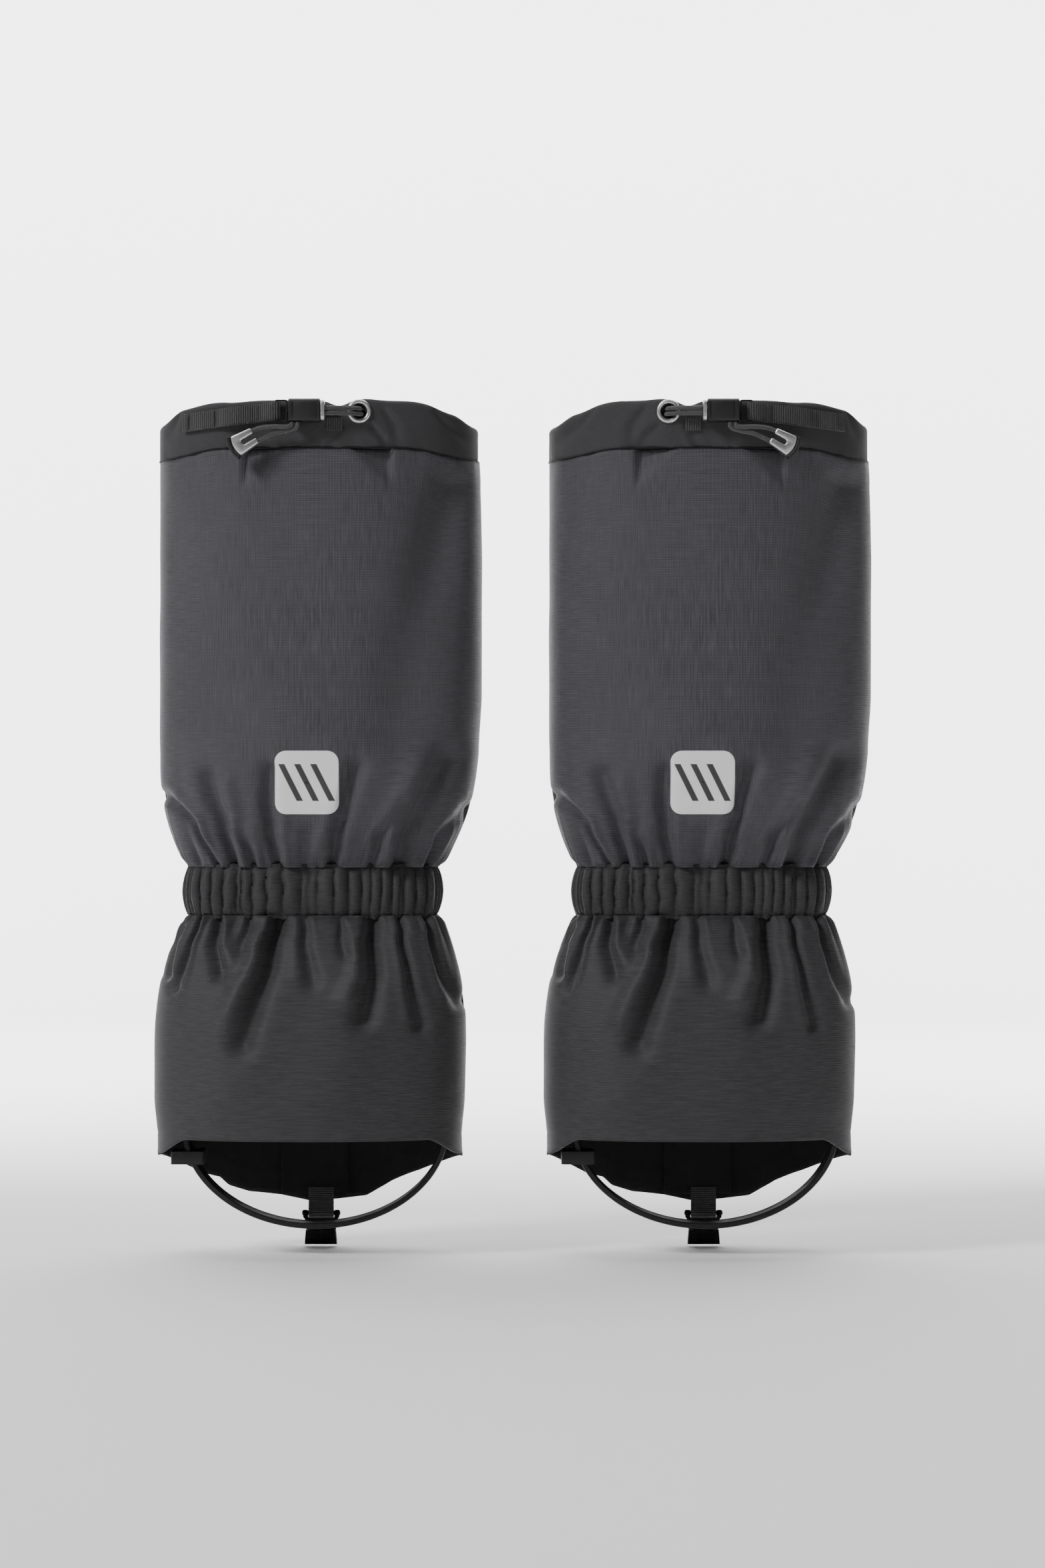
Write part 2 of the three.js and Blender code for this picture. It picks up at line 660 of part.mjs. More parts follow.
function laceHook() {
  const curlZ = hookBarZ - 13.1;
  const tip = hookPivotY - 2 * hookCurl;
  const line = [
    new THREE.Vector2(hookPivotY, hookBarZ - 0.5),
    ...arcPoints(hookPivotY - hookCurl, curlZ, hookCurl, 0, -Math.PI, 10),
    new THREE.Vector2(tip, curlZ + 4.4),
  ];
  const half = hookBarLength / 2;
  const bent = along("X", stripOutline(line, hookThickness), hookX - half, hookX + half);
  const low = curlZ - hookCurl - hookThickness;
  const outline = [
    [half + 0.1, hookBarZ + 2], [half + 0.1, hookBarZ - 2.3], [half - 2, hookBarZ - 5], [half - 0.9, low],
    [0.9 - half, low], [2 - half, hookBarZ - 5], [-half - 0.1, hookBarZ - 2.3], [-half - 0.1, hookBarZ + 2],
  ].map(([x, z]) => point2([hookX + x, z]));
  const waist = along("Y", new THREE.Shape(outline), tip - 5, hookPivotY + 5);
  const eye = hookTabWidth / 2 + clearance;
  const plate = solid(bent)
    .intersect(solid(waist))
    .subtract(solid(block([hookX - eye, hookX + eye], [tip - 5, hookPivotY + 5], [hookBarZ - 3.7, hookBarZ + 3])));
  const bar = along("X", circle(hookPivotY, hookBarZ, hookBarRadius), hookX - half, hookX + half);
  return geometryOf(plate.add(solid(bar)));
}

// The strap's middle line in (X, Z): half an ellipse with a flat facet at its lowest point, and
// two legs that lean outward to the skirt.
function strapLine() {
  const segments = 25;
  const points = Array.from({ length: segments + 1 }, (_, i) => {
    const angle = Math.PI + (Math.PI * i) / segments;
    const halfSpan = strapHalfSpan - strapThickness / 2;
    const drop = strapDrop - strapThickness / 2;
    return point2([halfSpan * Math.cos(angle), strapMiddleZ + drop * Math.sin(angle)]);
  });
  const lean = strapHalfSpan + 2;
  return [point2([-lean, strapTop]), ...points, point2([lean, strapTop])];
}

const instepStrap = () =>
  along("Y", stripOutline(strapLine(), strapThickness), -strapWidth / 2, strapWidth / 2);

// A ladder lock round the strap's -X leg, with a second slot for the webbing that anchors it.
function strapBuckle() {
  const low = strapMiddleZ - 20.1;
  const high = low + 7;
  const legX = (z, inset) =>
    -(strapHalfSpan - inset) * Math.sqrt(1 - ((z - strapMiddleZ) / (strapDrop - inset)) ** 2);
  const slot = [legX(high, 0) - 2 * clearance, legX(low, strapThickness) + 2 * clearance];
  const outer = -(strapHalfSpan + 7.5);
  const half = buckleWidth / 2;
  const through = [low - 1, high + 1];
  return cut(
    block([outer, slot[1] + 1.4], [-half, half], [low, high]),
    block(slot, [-strapWidth / 2 - clearance, strapWidth / 2 + clearance], through),
    block([outer + 1.9, outer + 5.5], [-8, 8], through),
  );
}

// A doubled webbing patch inside the skirt, which an end of the strap is sewn to.
function anchorTab(side) {
  const xs = [strapHalfSpan + 7, boot.halfWidth - fabric - 2.1].map((x) => side * x).sort((a, b) => a - b);
  return block(xs, [-11, 11], [-2, 30]);
}

// ---- The pair -----------------------------------------------------------------------------------

function gaiter(side, mirror) {
  const sleeveParts = new THREE.Group();
  const collarParts = new THREE.Group();
  collarParts.scale.x = mirror;
  const add = (group, name, finish, geometry) => {
    const mesh = new THREE.Mesh(geometry, new THREE.MeshStandardMaterial(finishes[finish]));
    mesh.name = `${side}_${name}`;
    group.add(mesh);
  };

  add(sleeveParts, "upper_shell", "upper", upperShell());
  add(sleeveParts, "ankle_band", "band", ankleBand());
  add(sleeveParts, "ankle_elastic", "lining", ankleElastic());
  add(sleeveParts, "lower_skirt", "skirt", lowerSkirt());
  add(sleeveParts, "closure_underlap", "lining", closureUnderlap());
  add(sleeveParts, "loop_tape", "tape", tape(loopOffset));
  add(sleeveParts, "hook_tape", "tape", tape(hookTapeOffset));
  add(sleeveParts, "closure_flap", "upper", closureFlap());
  add(sleeveParts, "press_stud_post", "darkMetal", pressStudPost());
  add(sleeveParts, "press_stud_cap", "darkMetal", pressStudCap());
  add(sleeveParts, "hook_tab", "webbing", hookTab());
  add(sleeveParts, "lace_hook", "darkMetal", laceHook());
  add(sleeveParts, "instep_strap", "strap", instepStrap());
  add(sleeveParts, "strap_buckle", "plastic", strapBuckle());
  add(sleeveParts, "strap_anchor_tab", "webbing", anchorTab(1));
  add(sleeveParts, "buckle_anchor_tab", "webbing", anchorTab(-1));

  add(collarParts, "collar_band", "collar", collarBand());
  add(collarParts, "collar_eyelet", "metal", collarEyelet());
  add(collarParts, "drawcord_outer_run", "cord", drawcordRun(1));
  add(collarParts, "drawcord_inner_run", "cord", drawcordRun(-1));
  add(collarParts, "cord_lock_barrel", "plastic", cordLockBarrel());
  add(collarParts, "cord_lock_plunger", "plastic", cordLockPlunger());
  add(collarParts, "cord_lock_spring", "metal", cordLockSpring());
  add(collarParts, "cord_lock_mouth", "metal", cordLockMouth());
  add(collarParts, "lock_webbing", "webbing", lockWebbing());
  add(collarParts, "lock_keeper_tab", "webbing", lockKeeperTab());
  add(collarParts, "tail_strand_upper", "cord", tailStrand(upperTail));
  add(collarParts, "tail_strand_lower", "cord", tailStrand(lowerTail));
  add(collarParts, "cord_end_clip", "metal", cordEndClip());
  add(collarParts, "cord_end_base", "plastic", cordEndBase());

  return new THREE.Group().add(sleeveParts, collarParts);
}

const gaiters = new THREE.Group();
const left = gaiter("left", 1);
left.position.x = -legSpacing / 2;
const right = gaiter("right", -1);
right.position.x = legSpacing / 2;
gaiters.add(left, right);

export default gaiters;
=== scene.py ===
"""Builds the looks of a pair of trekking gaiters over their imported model.

Lengths inside the shape code are millimetres from the leg's own axis, with +x to the leg's right as
seen from behind, +y to the toes and +z up the leg. A piece turns into metres when its mesh is made.
"""

import math
from typing import NamedTuple

import bmesh
import bpy
import numpy as np
from mathutils import Matrix, Vector


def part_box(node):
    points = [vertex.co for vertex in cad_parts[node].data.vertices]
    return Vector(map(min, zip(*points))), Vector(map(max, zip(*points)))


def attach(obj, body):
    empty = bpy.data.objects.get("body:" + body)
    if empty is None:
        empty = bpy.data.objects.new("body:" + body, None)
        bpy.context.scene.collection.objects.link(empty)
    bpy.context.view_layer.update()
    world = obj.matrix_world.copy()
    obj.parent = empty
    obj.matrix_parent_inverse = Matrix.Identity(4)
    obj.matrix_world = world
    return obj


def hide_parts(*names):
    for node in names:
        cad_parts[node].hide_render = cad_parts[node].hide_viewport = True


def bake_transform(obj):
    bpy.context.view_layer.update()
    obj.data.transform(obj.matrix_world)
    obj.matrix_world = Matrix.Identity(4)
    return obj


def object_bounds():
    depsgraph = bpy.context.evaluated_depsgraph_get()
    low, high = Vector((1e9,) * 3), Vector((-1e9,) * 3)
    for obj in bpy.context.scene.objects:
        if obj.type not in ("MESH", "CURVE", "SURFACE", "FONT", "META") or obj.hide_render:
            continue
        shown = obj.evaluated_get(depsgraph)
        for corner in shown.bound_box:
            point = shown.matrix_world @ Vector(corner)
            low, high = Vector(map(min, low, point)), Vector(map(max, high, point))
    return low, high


bl_info = {
    "name": "Trekking Gaiters",
    "version": (1, 0, 0),
    "blender": (4, 5, 0),
    "location": "3D View > Sidebar > Gaiters",
    "description": "Builds the fabric, hardware and stage for a pair of trekking gaiters",
    "category": "Object",
}

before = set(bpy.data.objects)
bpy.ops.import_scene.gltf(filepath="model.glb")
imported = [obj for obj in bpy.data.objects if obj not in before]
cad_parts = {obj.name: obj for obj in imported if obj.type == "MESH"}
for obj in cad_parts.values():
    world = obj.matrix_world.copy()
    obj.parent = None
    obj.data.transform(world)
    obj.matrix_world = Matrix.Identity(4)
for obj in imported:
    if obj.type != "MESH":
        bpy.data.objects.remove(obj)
MODEL_BOX = [list(corner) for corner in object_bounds()]

MM = 0.001


class Leg(NamedTuple):
    """One gaiter: its name, where its axis stands, and which way its collar hardware points."""

    name: str
    axis: float
    hand: int


def leg(name, hand):
    """A gaiter whose axis is where its collar stands in the frame."""
    low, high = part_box(f"{name}_collar_band")
    return Leg(name, (low.x + high.x) / 2, hand)


LEGS = (leg("left", 1), leg("right", -1))


def height(node, top):
    """Height of a node's top or foot on the left gaiter, in millimetres."""
    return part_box(f"left_{node}")[1 if top else 0].z / MM


COLLAR_TOP = height("collar_band", True)
COLLAR_SEAM = height("collar_band", False)
BAND_TOP = height("ankle_band", True)
BAND_FOOT = height("ankle_band", False)

# The sleeve's section, as half its width and its depth behind the leg axis.
CALF = (86.0, 45.0)
ANKLE = (67.5, 22.0)
BOOT = (84.5, 48.0)
FRONT_DEPTH = 43.0
SQUARENESS = 2.3
CALF_FLARE = 70.0
SKIRT_FLARE = 75.0
SLIT = 1.5
ROUND = 430.0  # length round the calf, which fabric patterns are measured along

# ---- Settings ------------------------------------------------------------------------------------


def grey(level, blue=0.0):
    """Linear colour of a grey on the usual 0 to 255 scale, with a little blue added."""
    def linear(value):
        share = value / 255
        return share / 12.92 if share <= 0.04045 else ((share + 0.055) / 1.055) ** 2.4

    return (linear(level), linear(level - 0.4 * blue), linear(level + blue), 1.0)


def colour(name, description, default):
    return bpy.props.FloatVectorProperty(
        name=name, description=description, default=default, subtype="COLOR", size=4, min=0, max=1
    )


def length(name, description, default):
    return bpy.props.FloatProperty(
        name=name, description=description, default=default, min=0, unit="LENGTH", precision=5
    )


class GaiterSizes(bpy.types.PropertyGroup):
    """Sizes that a user may change."""

    cloth: length("Fabric thickness", "Thickness of the sleeve's coated fabric", 0.0012)
    lining: length("Collar thickness", "Thickness of the collar's lighter fabric", 0.0008)
    pleat: length("Pleat depth", "How far the pleats of the ankle band stand up", 0.0034)
    fold: length("Fold depth", "Depth of the deepest folds beside the ankle band", 0.0071)
    cord: length("Drawcord diameter", "Diameter of the round drawcord", 0.0024)
    patch: length("Patch width", "Width of the reflective patch on the calf", 0.0342)
    strap: length("Strap width", "Width of the instep strap", 0.020)


class GaiterColours(bpy.types.PropertyGroup):
    """Colours that a user may change."""

    upper: colour("Upper fabric", "Ripstop of the calf panel", grey(67, 3.5))
    collar: colour("Collar fabric", "Plain fabric of the collar", grey(59, 1.5))
    band: colour("Band fabric", "Fabric of the ankle band", grey(47, 1.5))
    skirt: colour("Skirt fabric", "Ribbed fabric of the skirt", grey(51, 2))
    inside: colour("Inside", "Black coating inside the sleeve", grey(15))
    webbing: colour("Webbing", "Woven tapes and tabs", grey(48))
    drawcord: colour("Drawcord", "Braided cord", grey(58))
    plastic: colour("Plastic", "Moulded cord lock and buckle", grey(16))
    silver: colour("Silver metal", "Eyelet, lock mouth and cord end", grey(205))
    black_metal: colour("Black metal", "Lace hook and press studs", grey(30))
    strap: colour("Strap", "Coated strap under the instep", grey(11))
    patch: colour("Patch", "Reflective patch on the calf", grey(240))
    backdrop: colour("Backdrop", "Floor and backdrop", grey(250))


def sizes():
    """The settings for sizes."""
    return bpy.context.scene.gaiter_sizes


def colours():
    """The settings for colours."""
    return bpy.context.scene.gaiter_colours


# ---- Shader maths --------------------------------------------------------------------------------


class Value:
    """A number that changes over a surface. Python operators add the Math nodes for it."""

    def __init__(self, shader, socket):
        self.shader = shader
        self.socket = socket

    def math(self, operation, *others):
        inputs = {i: other for i, other in enumerate((self, *others))}
        return self.shader.value("ShaderNodeMath", {"operation": operation}, inputs, 0)

    def reflected(self, operation, other):
        return self.shader.value("ShaderNodeMath", {"operation": operation}, {0: other, 1: self}, 0)

    def __add__(self, other):
        return self.math("ADD", other)

    def __sub__(self, other):
        return self.math("SUBTRACT", other)

    def __mul__(self, other):
        return self.math("MULTIPLY", other)

    def __truediv__(self, other):
        return self.math("DIVIDE", other)

    def __pow__(self, other):
        return self.math("POWER", other)

    def __rsub__(self, other):
        return self.reflected("SUBTRACT", other)

    def __rtruediv__(self, other):
        return self.reflected("DIVIDE", other)

    def __neg__(self):
        return self.math("MULTIPLY", -1)

    def __abs__(self):
        return self.math("ABSOLUTE")

    __radd__ = __add__
    __rmul__ = __mul__

    def fract(self):
        return self.math("FRACT")

    def floor(self):
        return self.math("FLOOR")

    def stretched(self, by):
        """Spreads values away from a half, and keeps them between 0 and 1."""
        return ((self - 0.5) * by + 0.5).clamp()

    def clamp(self):
        return self.math("MINIMUM", 1).math("MAXIMUM", 0)

    def wave(self, period):
        """Rises and falls between -1 and 1 once in each period."""
        return (self * (2 * math.pi / period)).math("SINE")

    def below(self, limit, blur):
        """1 where the value is under the limit, fading to 0 over the blur."""
        return ((limit - self) / blur + 0.5).clamp()

    def near(self, middle, half, blur):
        """1 within half of the middle, fading to 0 over the blur."""
        return abs(self - middle).below(half, blur)


class Shader:
    """A new material, built from the nodes that its methods add."""

    def __init__(self, name):
        self.material = bpy.data.materials.new(name)
        self.material.use_nodes = True
        self.tree = self.material.node_tree
        self.tree.nodes.clear()

    def node(self, kind, settings=None, inputs=None):
        """Adds a node: its settings first, then the values or links of its sockets."""
        made = self.tree.nodes.new(kind)
        for key, value in (settings or {}).items():
            setattr(made, key, value)
        for key, value in (inputs or {}).items():
            if isinstance(value, Value):
                self.tree.links.new(value.socket, made.inputs[key])
            elif isinstance(value, bpy.types.NodeSocket):
                self.tree.links.new(value, made.inputs[key])
            else:
                made.inputs[key].default_value = value
        return made

    def value(self, kind, settings=None, inputs=None, output="Fac"):
        return Value(self, self.node(kind, settings, inputs).outputs[output])

    def across_and_along(self):
        """The two coordinates that fabric was cut to, in metres."""
        flat = self.node("ShaderNodeUVMap", {"uv_map": "Cloth"})
        parts = self.node("ShaderNodeSeparateXYZ", inputs={0: flat.outputs["UV"]})
        return Value(self, parts.outputs["X"]), Value(self, parts.outputs["Y"])

    def place(self):
        """The point on the object, in metres."""
        return self.node("ShaderNodeTexCoord").outputs["Object"]

    def vector(self, x=0.0, y=0.0, z=0.0):
        return self.node("ShaderNodeCombineXYZ", inputs={0: x, 1: y, 2: z}).outputs[0]

    def noise(self, vector, scale, detail=2.0, roughness=0.5):
        inputs = {"Vector": vector, "Scale": scale, "Detail": detail, "Roughness": roughness}
        return self.value("ShaderNodeTexNoise", None, inputs)

    def mix(self, share, first, second):
        """Colour between two others."""
        settings = {"data_type": "RGBA"}
        made = self.node("ShaderNodeMix", settings, {"Factor": share, 6: first, 7: second})
        return made.outputs[2]

    def shades(self, base, share, low=0.75, high=1.25):
        """The base colour, darkened where share is 0 and lightened where it is 1."""
        def scaled(by):
            return (*(min(part * by, 1.0) for part in base[:3]), 1.0)

        return self.mix(share, scaled(low), scaled(high))

    def bump(self, relief, distance, strength=1.0):
        inputs = {"Height": relief, "Distance": distance, "Strength": strength}
        return self.node("ShaderNodeBump", None, inputs).outputs["Normal"]

    def finish(self, surface, **uniform):
        """Ends the material with a Principled shader of these varying and uniform inputs."""
        inputs = {key.replace("_", " "): value for key, value in uniform.items()}
        shader = self.node("ShaderNodeBsdfPrincipled", None, {**inputs, **surface})
        self.node("ShaderNodeOutputMaterial", None, {"Surface": shader.outputs[0]})
        return self.material


# ---- Finishes ------------------------------------------------------------------------------------

made_finishes = {}


def finish_named(name, make):
    """A material that is made the first time that it is asked for."""
    if name not in made_finishes:
        made_finishes[name] = make(Shader(name))
    return made_finishes[name]


def ripstop(shader):
    """Calf panel: fine uneven upright threads, and the raised grid that stops tears."""
    across, along = shader.across_and_along()
    upright = shader.noise(shader.vector(across * 1700, along * 70), 1.0, 3)
    level = shader.noise(shader.vector(across * 90, along * 1700), 1.0, 2)
    cloudy = shader.noise(shader.vector(across * 26, along * 14), 1.0, 2)
    grid_across = (across.wave(0.0021)) ** 2
    grid_along = (along.wave(0.0026)) ** 2
    grid = (grid_across.math("MAXIMUM", grid_along)) ** 6
    behind = abs(across - ROUND * MM / 2)
    upright_share = cloudy.below(0.56, 0.2) * behind.below(0.055, 0.04)
    weave = upright * upright_share + level * (1 - upright_share)
    tone = (weave.stretched(1.7) * 0.75 + grid * 0.25 + cloudy * 0.2 - 0.06).clamp()
    return shader.finish(
        {
            "Base Color": shader.shades(colours().upper, tone, 0.42, 1.6),
            "Roughness": (weave * 0.22 + 0.5).clamp(),
            "Normal": shader.bump(weave * 0.9 + grid * 0.4, 0.0004, 0.8),
        },
        Sheen_Weight=0.12,
        Sheen_Roughness=0.4,
        Specular_IOR_Level=0.42,
    )


def ribbed(base, contrast):
    """Fabric with fine level ribs that break and wander."""
    def make(shader):
        across, along = shader.across_and_along()
        drift = shader.noise(shader.vector(across * 60, along * 60), 1.0, 1) * 0.0012
        ribs = (along + drift).wave(0.00095) * 0.5 + 0.5
        broken = shader.noise(shader.vector(across * 110, along * 900), 1.0, 3)
        speck = shader.noise(shader.vector(across * 700, along * 700), 1.0, 1)
        tone = (broken.stretched(2.0) * 0.65 + ribs * 0.25 + speck * 0.15 - 0.04).clamp()
        return shader.finish(
            {
                "Base Color": shader.shades(base, tone, 1 - contrast, 1 + contrast),
                "Roughness": (broken * 0.2 + 0.55).clamp(),
                "Normal": shader.bump(ribs * 0.35 + broken * 0.65, 0.0003, 0.75),
            },
            Sheen_Weight=0.08,
            Specular_IOR_Level=0.4,
        )

    return make


def plain_weave(base, gloss):
    """Smooth fabric with a very fine crossing weave and faint creases."""
    def make(shader):
        across, along = shader.across_and_along()
        weave = across.wave(0.0009) * along.wave(0.0009)
        crumple = shader.noise(shader.vector(across * 60, along * 90), 1.0, 4, 0.6)
        speck = shader.noise(shader.vector(across * 900, along * 900), 1.0, 2)
        tone = (weave * 0.12 + crumple * 0.5 + speck * 0.5 - 0.02).clamp()
        return shader.finish(
            {
                "Base Color": shader.shades(base, tone, 0.72, 1.28),
                "Roughness": (gloss + crumple * 0.15).clamp(),
                "Normal": shader.bump(weave * 0.25 + crumple * 0.9, 0.0004, 0.45),
            },
            Sheen_Weight=0.04,
            Specular_IOR_Level=0.25,
        )

    return make


def hook_and_loop(hooks):
    """Pile or hooks of the closure tapes."""
    def make(shader):
        across, along = shader.across_and_along()
        pile = shader.noise(shader.vector(across, along), 1700, 3, 0.7)
        rows = (across.wave(0.0016) * along.wave(0.0014) * 0.5 + 0.5) ** 3
        relief = rows + pile * 0.3 if hooks else pile
        return shader.finish(
            {
                "Base Color": shader.shades(grey(34), relief.clamp(), 0.6, 1.7),
                "Roughness": (pile * 0.2 + 0.75).clamp(),
                "Normal": shader.bump(relief, 0.0006, 0.9),
            },
            Sheen_Weight=0.3 if not hooks else 0.0,
        )

    return make


def webbing(rib):
    """Woven tape with ribs across it and pale flecks."""
    def make(shader):
        across, along = shader.across_and_along()
        ribs = along.wave(rib) * 0.5 + 0.5
        threads = (across.wave(0.0011) * 0.5 + 0.5) * ribs
        fleck = shader.noise(shader.vector(across * 400, along * 1500), 1.0, 3)
        # Tone: the ribs' crests are painted lighter and their hollows darker, a painted highlight and painted
        # shade over the bumped ribs; the crossing threads and pale flecks are the tape's own colour.
        tone = (ribs * 0.55 + threads * 0.15 + fleck * 0.45 - 0.08).clamp()
        return shader.finish(
            {
                "Base Color": shader.shades(colours().webbing, tone.stretched(1.4), 0.3, 2.3),
                "Roughness": (0.78 - ribs * 0.15).clamp(),
                "Normal": shader.bump(ribs * 0.8 + threads * 0.3, 0.0004, 0.9),
            },
            Sheen_Weight=0.15,
        )

    return make


def braid(shader):
    """Round braided cord: two sets of strands that cross each other."""
    across, along = shader.across_and_along()
    turn = across * (1 / 0.0075)
    pitch = along * (1 / 0.0021)
    first = ((turn * 8 + pitch) * (2 * math.pi)).math("SINE")
    second = ((turn * 8 - pitch) * (2 * math.pi)).math("SINE")
    strands = first.math("MAXIMUM", second) * 0.5 + 0.5
    fibre = shader.noise(shader.vector(across, along), 2600, 2)
    # Tone: the crossing strands are painted lighter on their crests and darker in the grooves between them, a
    # painted highlight and painted shade over the bump; the fibre noise is the cord's own fleck.
    tone = (strands * 0.6 + fibre * 0.45 - 0.05).clamp()
    return shader.finish(
        {
            "Base Color": shader.shades(colours().drawcord, tone, 0.45, 1.7),
            "Roughness": (0.85 - strands * 0.25).clamp(),
            "Normal": shader.bump(strands + fibre * 0.2, 0.0003, 0.9),
        },
        Sheen_Weight=0.2,
    )


def thread(shader):
    """Twisted sewing thread."""
    across, along = shader.across_and_along()
    twist = ((along * 1800 + across * 1500) * (2 * math.pi)).math("SINE") * 0.5 + 0.5
    return shader.finish(
        {
            "Base Color": shader.shades(grey(62), twist, 0.6, 1.5),
            "Roughness": 0.8 - twist * 0.2,
            "Normal": shader.bump(twist, 0.0001, 0.8),
        }
    )


def moulded(base, gloss, grain):
    """Moulded plastic or rubber: a fine spark-eroded grain, with rubbed and dusty spots."""
    def make(shader):
        place = shader.place()
        fine = shader.noise(place, 4200, 2, 0.6)
        cloudy = shader.noise(place, 160, 3)
        scuffs = shader.noise(place, 900, 4, 0.7).below(0.36, 0.06)
        tone = (fine * 0.4 + cloudy * 0.5 + scuffs * 0.35).clamp()
        return shader.finish(
            {
                "Base Color": shader.shades(base, tone, 0.6, 1.5),
                "Roughness": (gloss + fine * 0.18 + cloudy * 0.12 - scuffs * 0.08).clamp(),
                "Normal": shader.bump(fine * grain + cloudy * 0.3, 0.00015, 0.6),
            },
            Specular_IOR_Level=0.5,
        )

    return make


def metal(base, gloss, wear):
    """Brushed or blackened metal, with paler rubbed spots."""
    def make(shader):
        place = shader.place()
        parts = shader.node("ShaderNodeSeparateXYZ", inputs={0: place})
        x, y, z = (Value(shader, parts.outputs[i]) for i in range(3))
        brushed = shader.noise(shader.vector(x * 500, y * 4000, z * 5200), 1.0, 2)
        rubbed = shader.noise(place, 420, 4, 0.65)
        worn = (rubbed.below(0.44, 0.1)) * wear
        tone = (brushed * 0.55 + rubbed * 0.35 + worn).clamp()
        return shader.finish(
            {
                "Base Color": shader.shades(base, tone, 0.62, 1.35),
                "Roughness": (gloss + brushed * 0.2 - worn * 0.1).clamp(),
                "Normal": shader.bump(brushed * 0.4 + rubbed * 0.4, 0.00006, 0.5),
            },
            Metallic=1.0,
        )

    return make


def reflective(shader):
    """Pale reflective film with a fine bead pattern, and three plain slanted bars."""
    across, along = shader.across_and_along()
    beads = (across.wave(0.0008) * along.wave(0.0008) * 0.5 + 0.5) ** 2
    cloudy = shader.noise(shader.vector(across, along), 60, 2)
    slanted = across + along * 0.5
    bars = 0.0
    for middle in (-0.0085, 0.0, 0.0085):
        bars = slanted.near(middle, 0.0017, 0.0003) + bars
    bars = bars.clamp() * along.near(0.0, 0.0098, 0.0003)
    film = shader.shades(colours().patch, (beads * 0.3 + cloudy * 0.7).clamp(), 0.86, 1.06)
    return shader.finish(
        {
            "Base Color": shader.mix(bars, film, grey(58)),
            "Roughness": (0.42 + cloudy * 0.12 + bars * 0.2).clamp(),
            "Normal": shader.bump(beads * 0.2 - bars * 0.8, 0.0002, 0.5),
        }
    )


def stage_paint(shader):
    """Matt seamless paper for the floor and backdrop."""
    fibre = shader.noise(shader.place(), 60, 3)
    return shader.finish(
        {"Base Color": shader.shades(colours().backdrop, fibre, 0.995, 1.0), "Roughness": 0.9}
    )


def finishes(slot):
    """The material for one of the record's slots, or for a finish that has no slot of its own."""
    c = colours()
    makers = {
        "upper_fabric": ripstop,
        "collar_fabric": plain_weave(c.collar, 0.68),
        "band_fabric": ribbed(c.band, 0.45),
        "skirt_fabric": ribbed(c.skirt, 0.5),
        "inner_fabric": plain_weave(c.inside, 0.6),
        "inner_elastic": webbing(0.0016),
        "loop_pile": hook_and_loop(False),
        "hook_pile": hook_and_loop(True),
        "webbing": webbing(0.0012),
        "drawcord": braid,
        "thread": thread,
        "lock_plastic": moulded(c.plastic, 0.36, 0.8),
        "bright_metal": metal(c.silver, 0.26, 0.5),
        "dark_metal": metal(c.black_metal, 0.36, 0.7),
        "strap_rubber": moulded(c.strap, 0.42, 0.6),
        "patch": reflective,
        "stage": stage_paint,
    }
    return finish_named(slot, makers[slot])


# ---- Meshes --------------------------------------------------------------------------------------


def piece(name, side, body, points, faces, slot, nodes=(), mirrored=False, **looks):
    """Makes one piece from points in millimetres and gives it its body, nodes and finish.

    looks may hold cloth, the fabric coordinates of each point or of each face's corners; inside,
    the material for faces marked in inner; and flat, for a piece with no smooth shading.
    """
    hand = side.hand if mirrored else 1
    placed = np.asarray(points, float) * MM
    placed[:, 0] = placed[:, 0] * hand + side.axis
    corners = [list(face) for face in faces]
    cloth = looks.get("cloth")
    if cloth is not None and isinstance(cloth, np.ndarray):
        cloth = [[cloth[i] for i in face] for face in corners]
    if hand < 0:
        corners = [face[::-1] for face in corners]
        cloth = None if cloth is None else [face[::-1] for face in cloth]
    mesh = bpy.data.meshes.new(f"{side.name}_{name}")
    mesh.from_pydata(placed.tolist(), [], corners)
    if cloth is not None:
        layer = mesh.uv_layers.new(name="Cloth")
        layer.data.foreach_set("uv", np.array([c for face in cloth for c in face], float).ravel() * MM)
    mesh.materials.append(finishes(slot if slot in SLOTS_WITH_FINISH else SLOT_FINISH[slot]))
    if "inside" in looks:
        mesh.materials.append(finishes(looks["inside"]))
        mesh.polygons.foreach_set("material_index", np.asarray(looks["inner"], np.int32))
    mesh.polygons.foreach_set("use_smooth", [not looks.get("flat", False)] * len(corners))
    mesh.validate()
    made = bpy.data.objects.new(f"{side.name}_{name}_look", mesh)
    bpy.context.scene.collection.objects.link(made)
    if body:
        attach(made, f"{side.name}_{body}")
    if nodes:
        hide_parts(*(f"{side.name}_{node}" for node in nodes))
    slot in RECORD_SLOTS
    return made


RECORD_SLOTS = {
    "upper_fabric", "collar_fabric", "band_fabric", "skirt_fabric", "inner_elastic", "inner_fabric",
    "hook_and_loop", "webbing", "drawcord", "lock_plastic", "bright_metal", "dark_metal", "strap_rubber",
}
SLOT_FINISH = {"hook_and_loop": "loop_pile"}
SLOTS_WITH_FINISH = (RECORD_SLOTS - {"hook_and_loop"}) | {"thread", "patch", "hook_pile"}


def grid_faces(rows, columns, wrap=False):
    """The faces of a grid of points, as point numbers, and as rows and columns that don't wrap."""
    i, j = np.meshgrid(np.arange(rows - 1), np.arange(columns if wrap else columns - 1), indexing="ij")
    row = np.stack([i, i, i + 1, i + 1], -1).reshape(-1, 4)
    column = np.stack([j, j + 1, j + 1, j], -1).reshape(-1, 4)
    return row * columns + column % columns, row, column


def grid_normals(grid):
    """Unit normals of a grid whose rows run round the leg and whose columns run up it."""
    round_leg = np.gradient(grid, axis=0)
    up_leg = np.gradient(grid, axis=1)
    normal = np.cross(up_leg, round_leg)
    return normal / np.maximum(np.linalg.norm(normal, axis=2, keepdims=True), 1e-9)


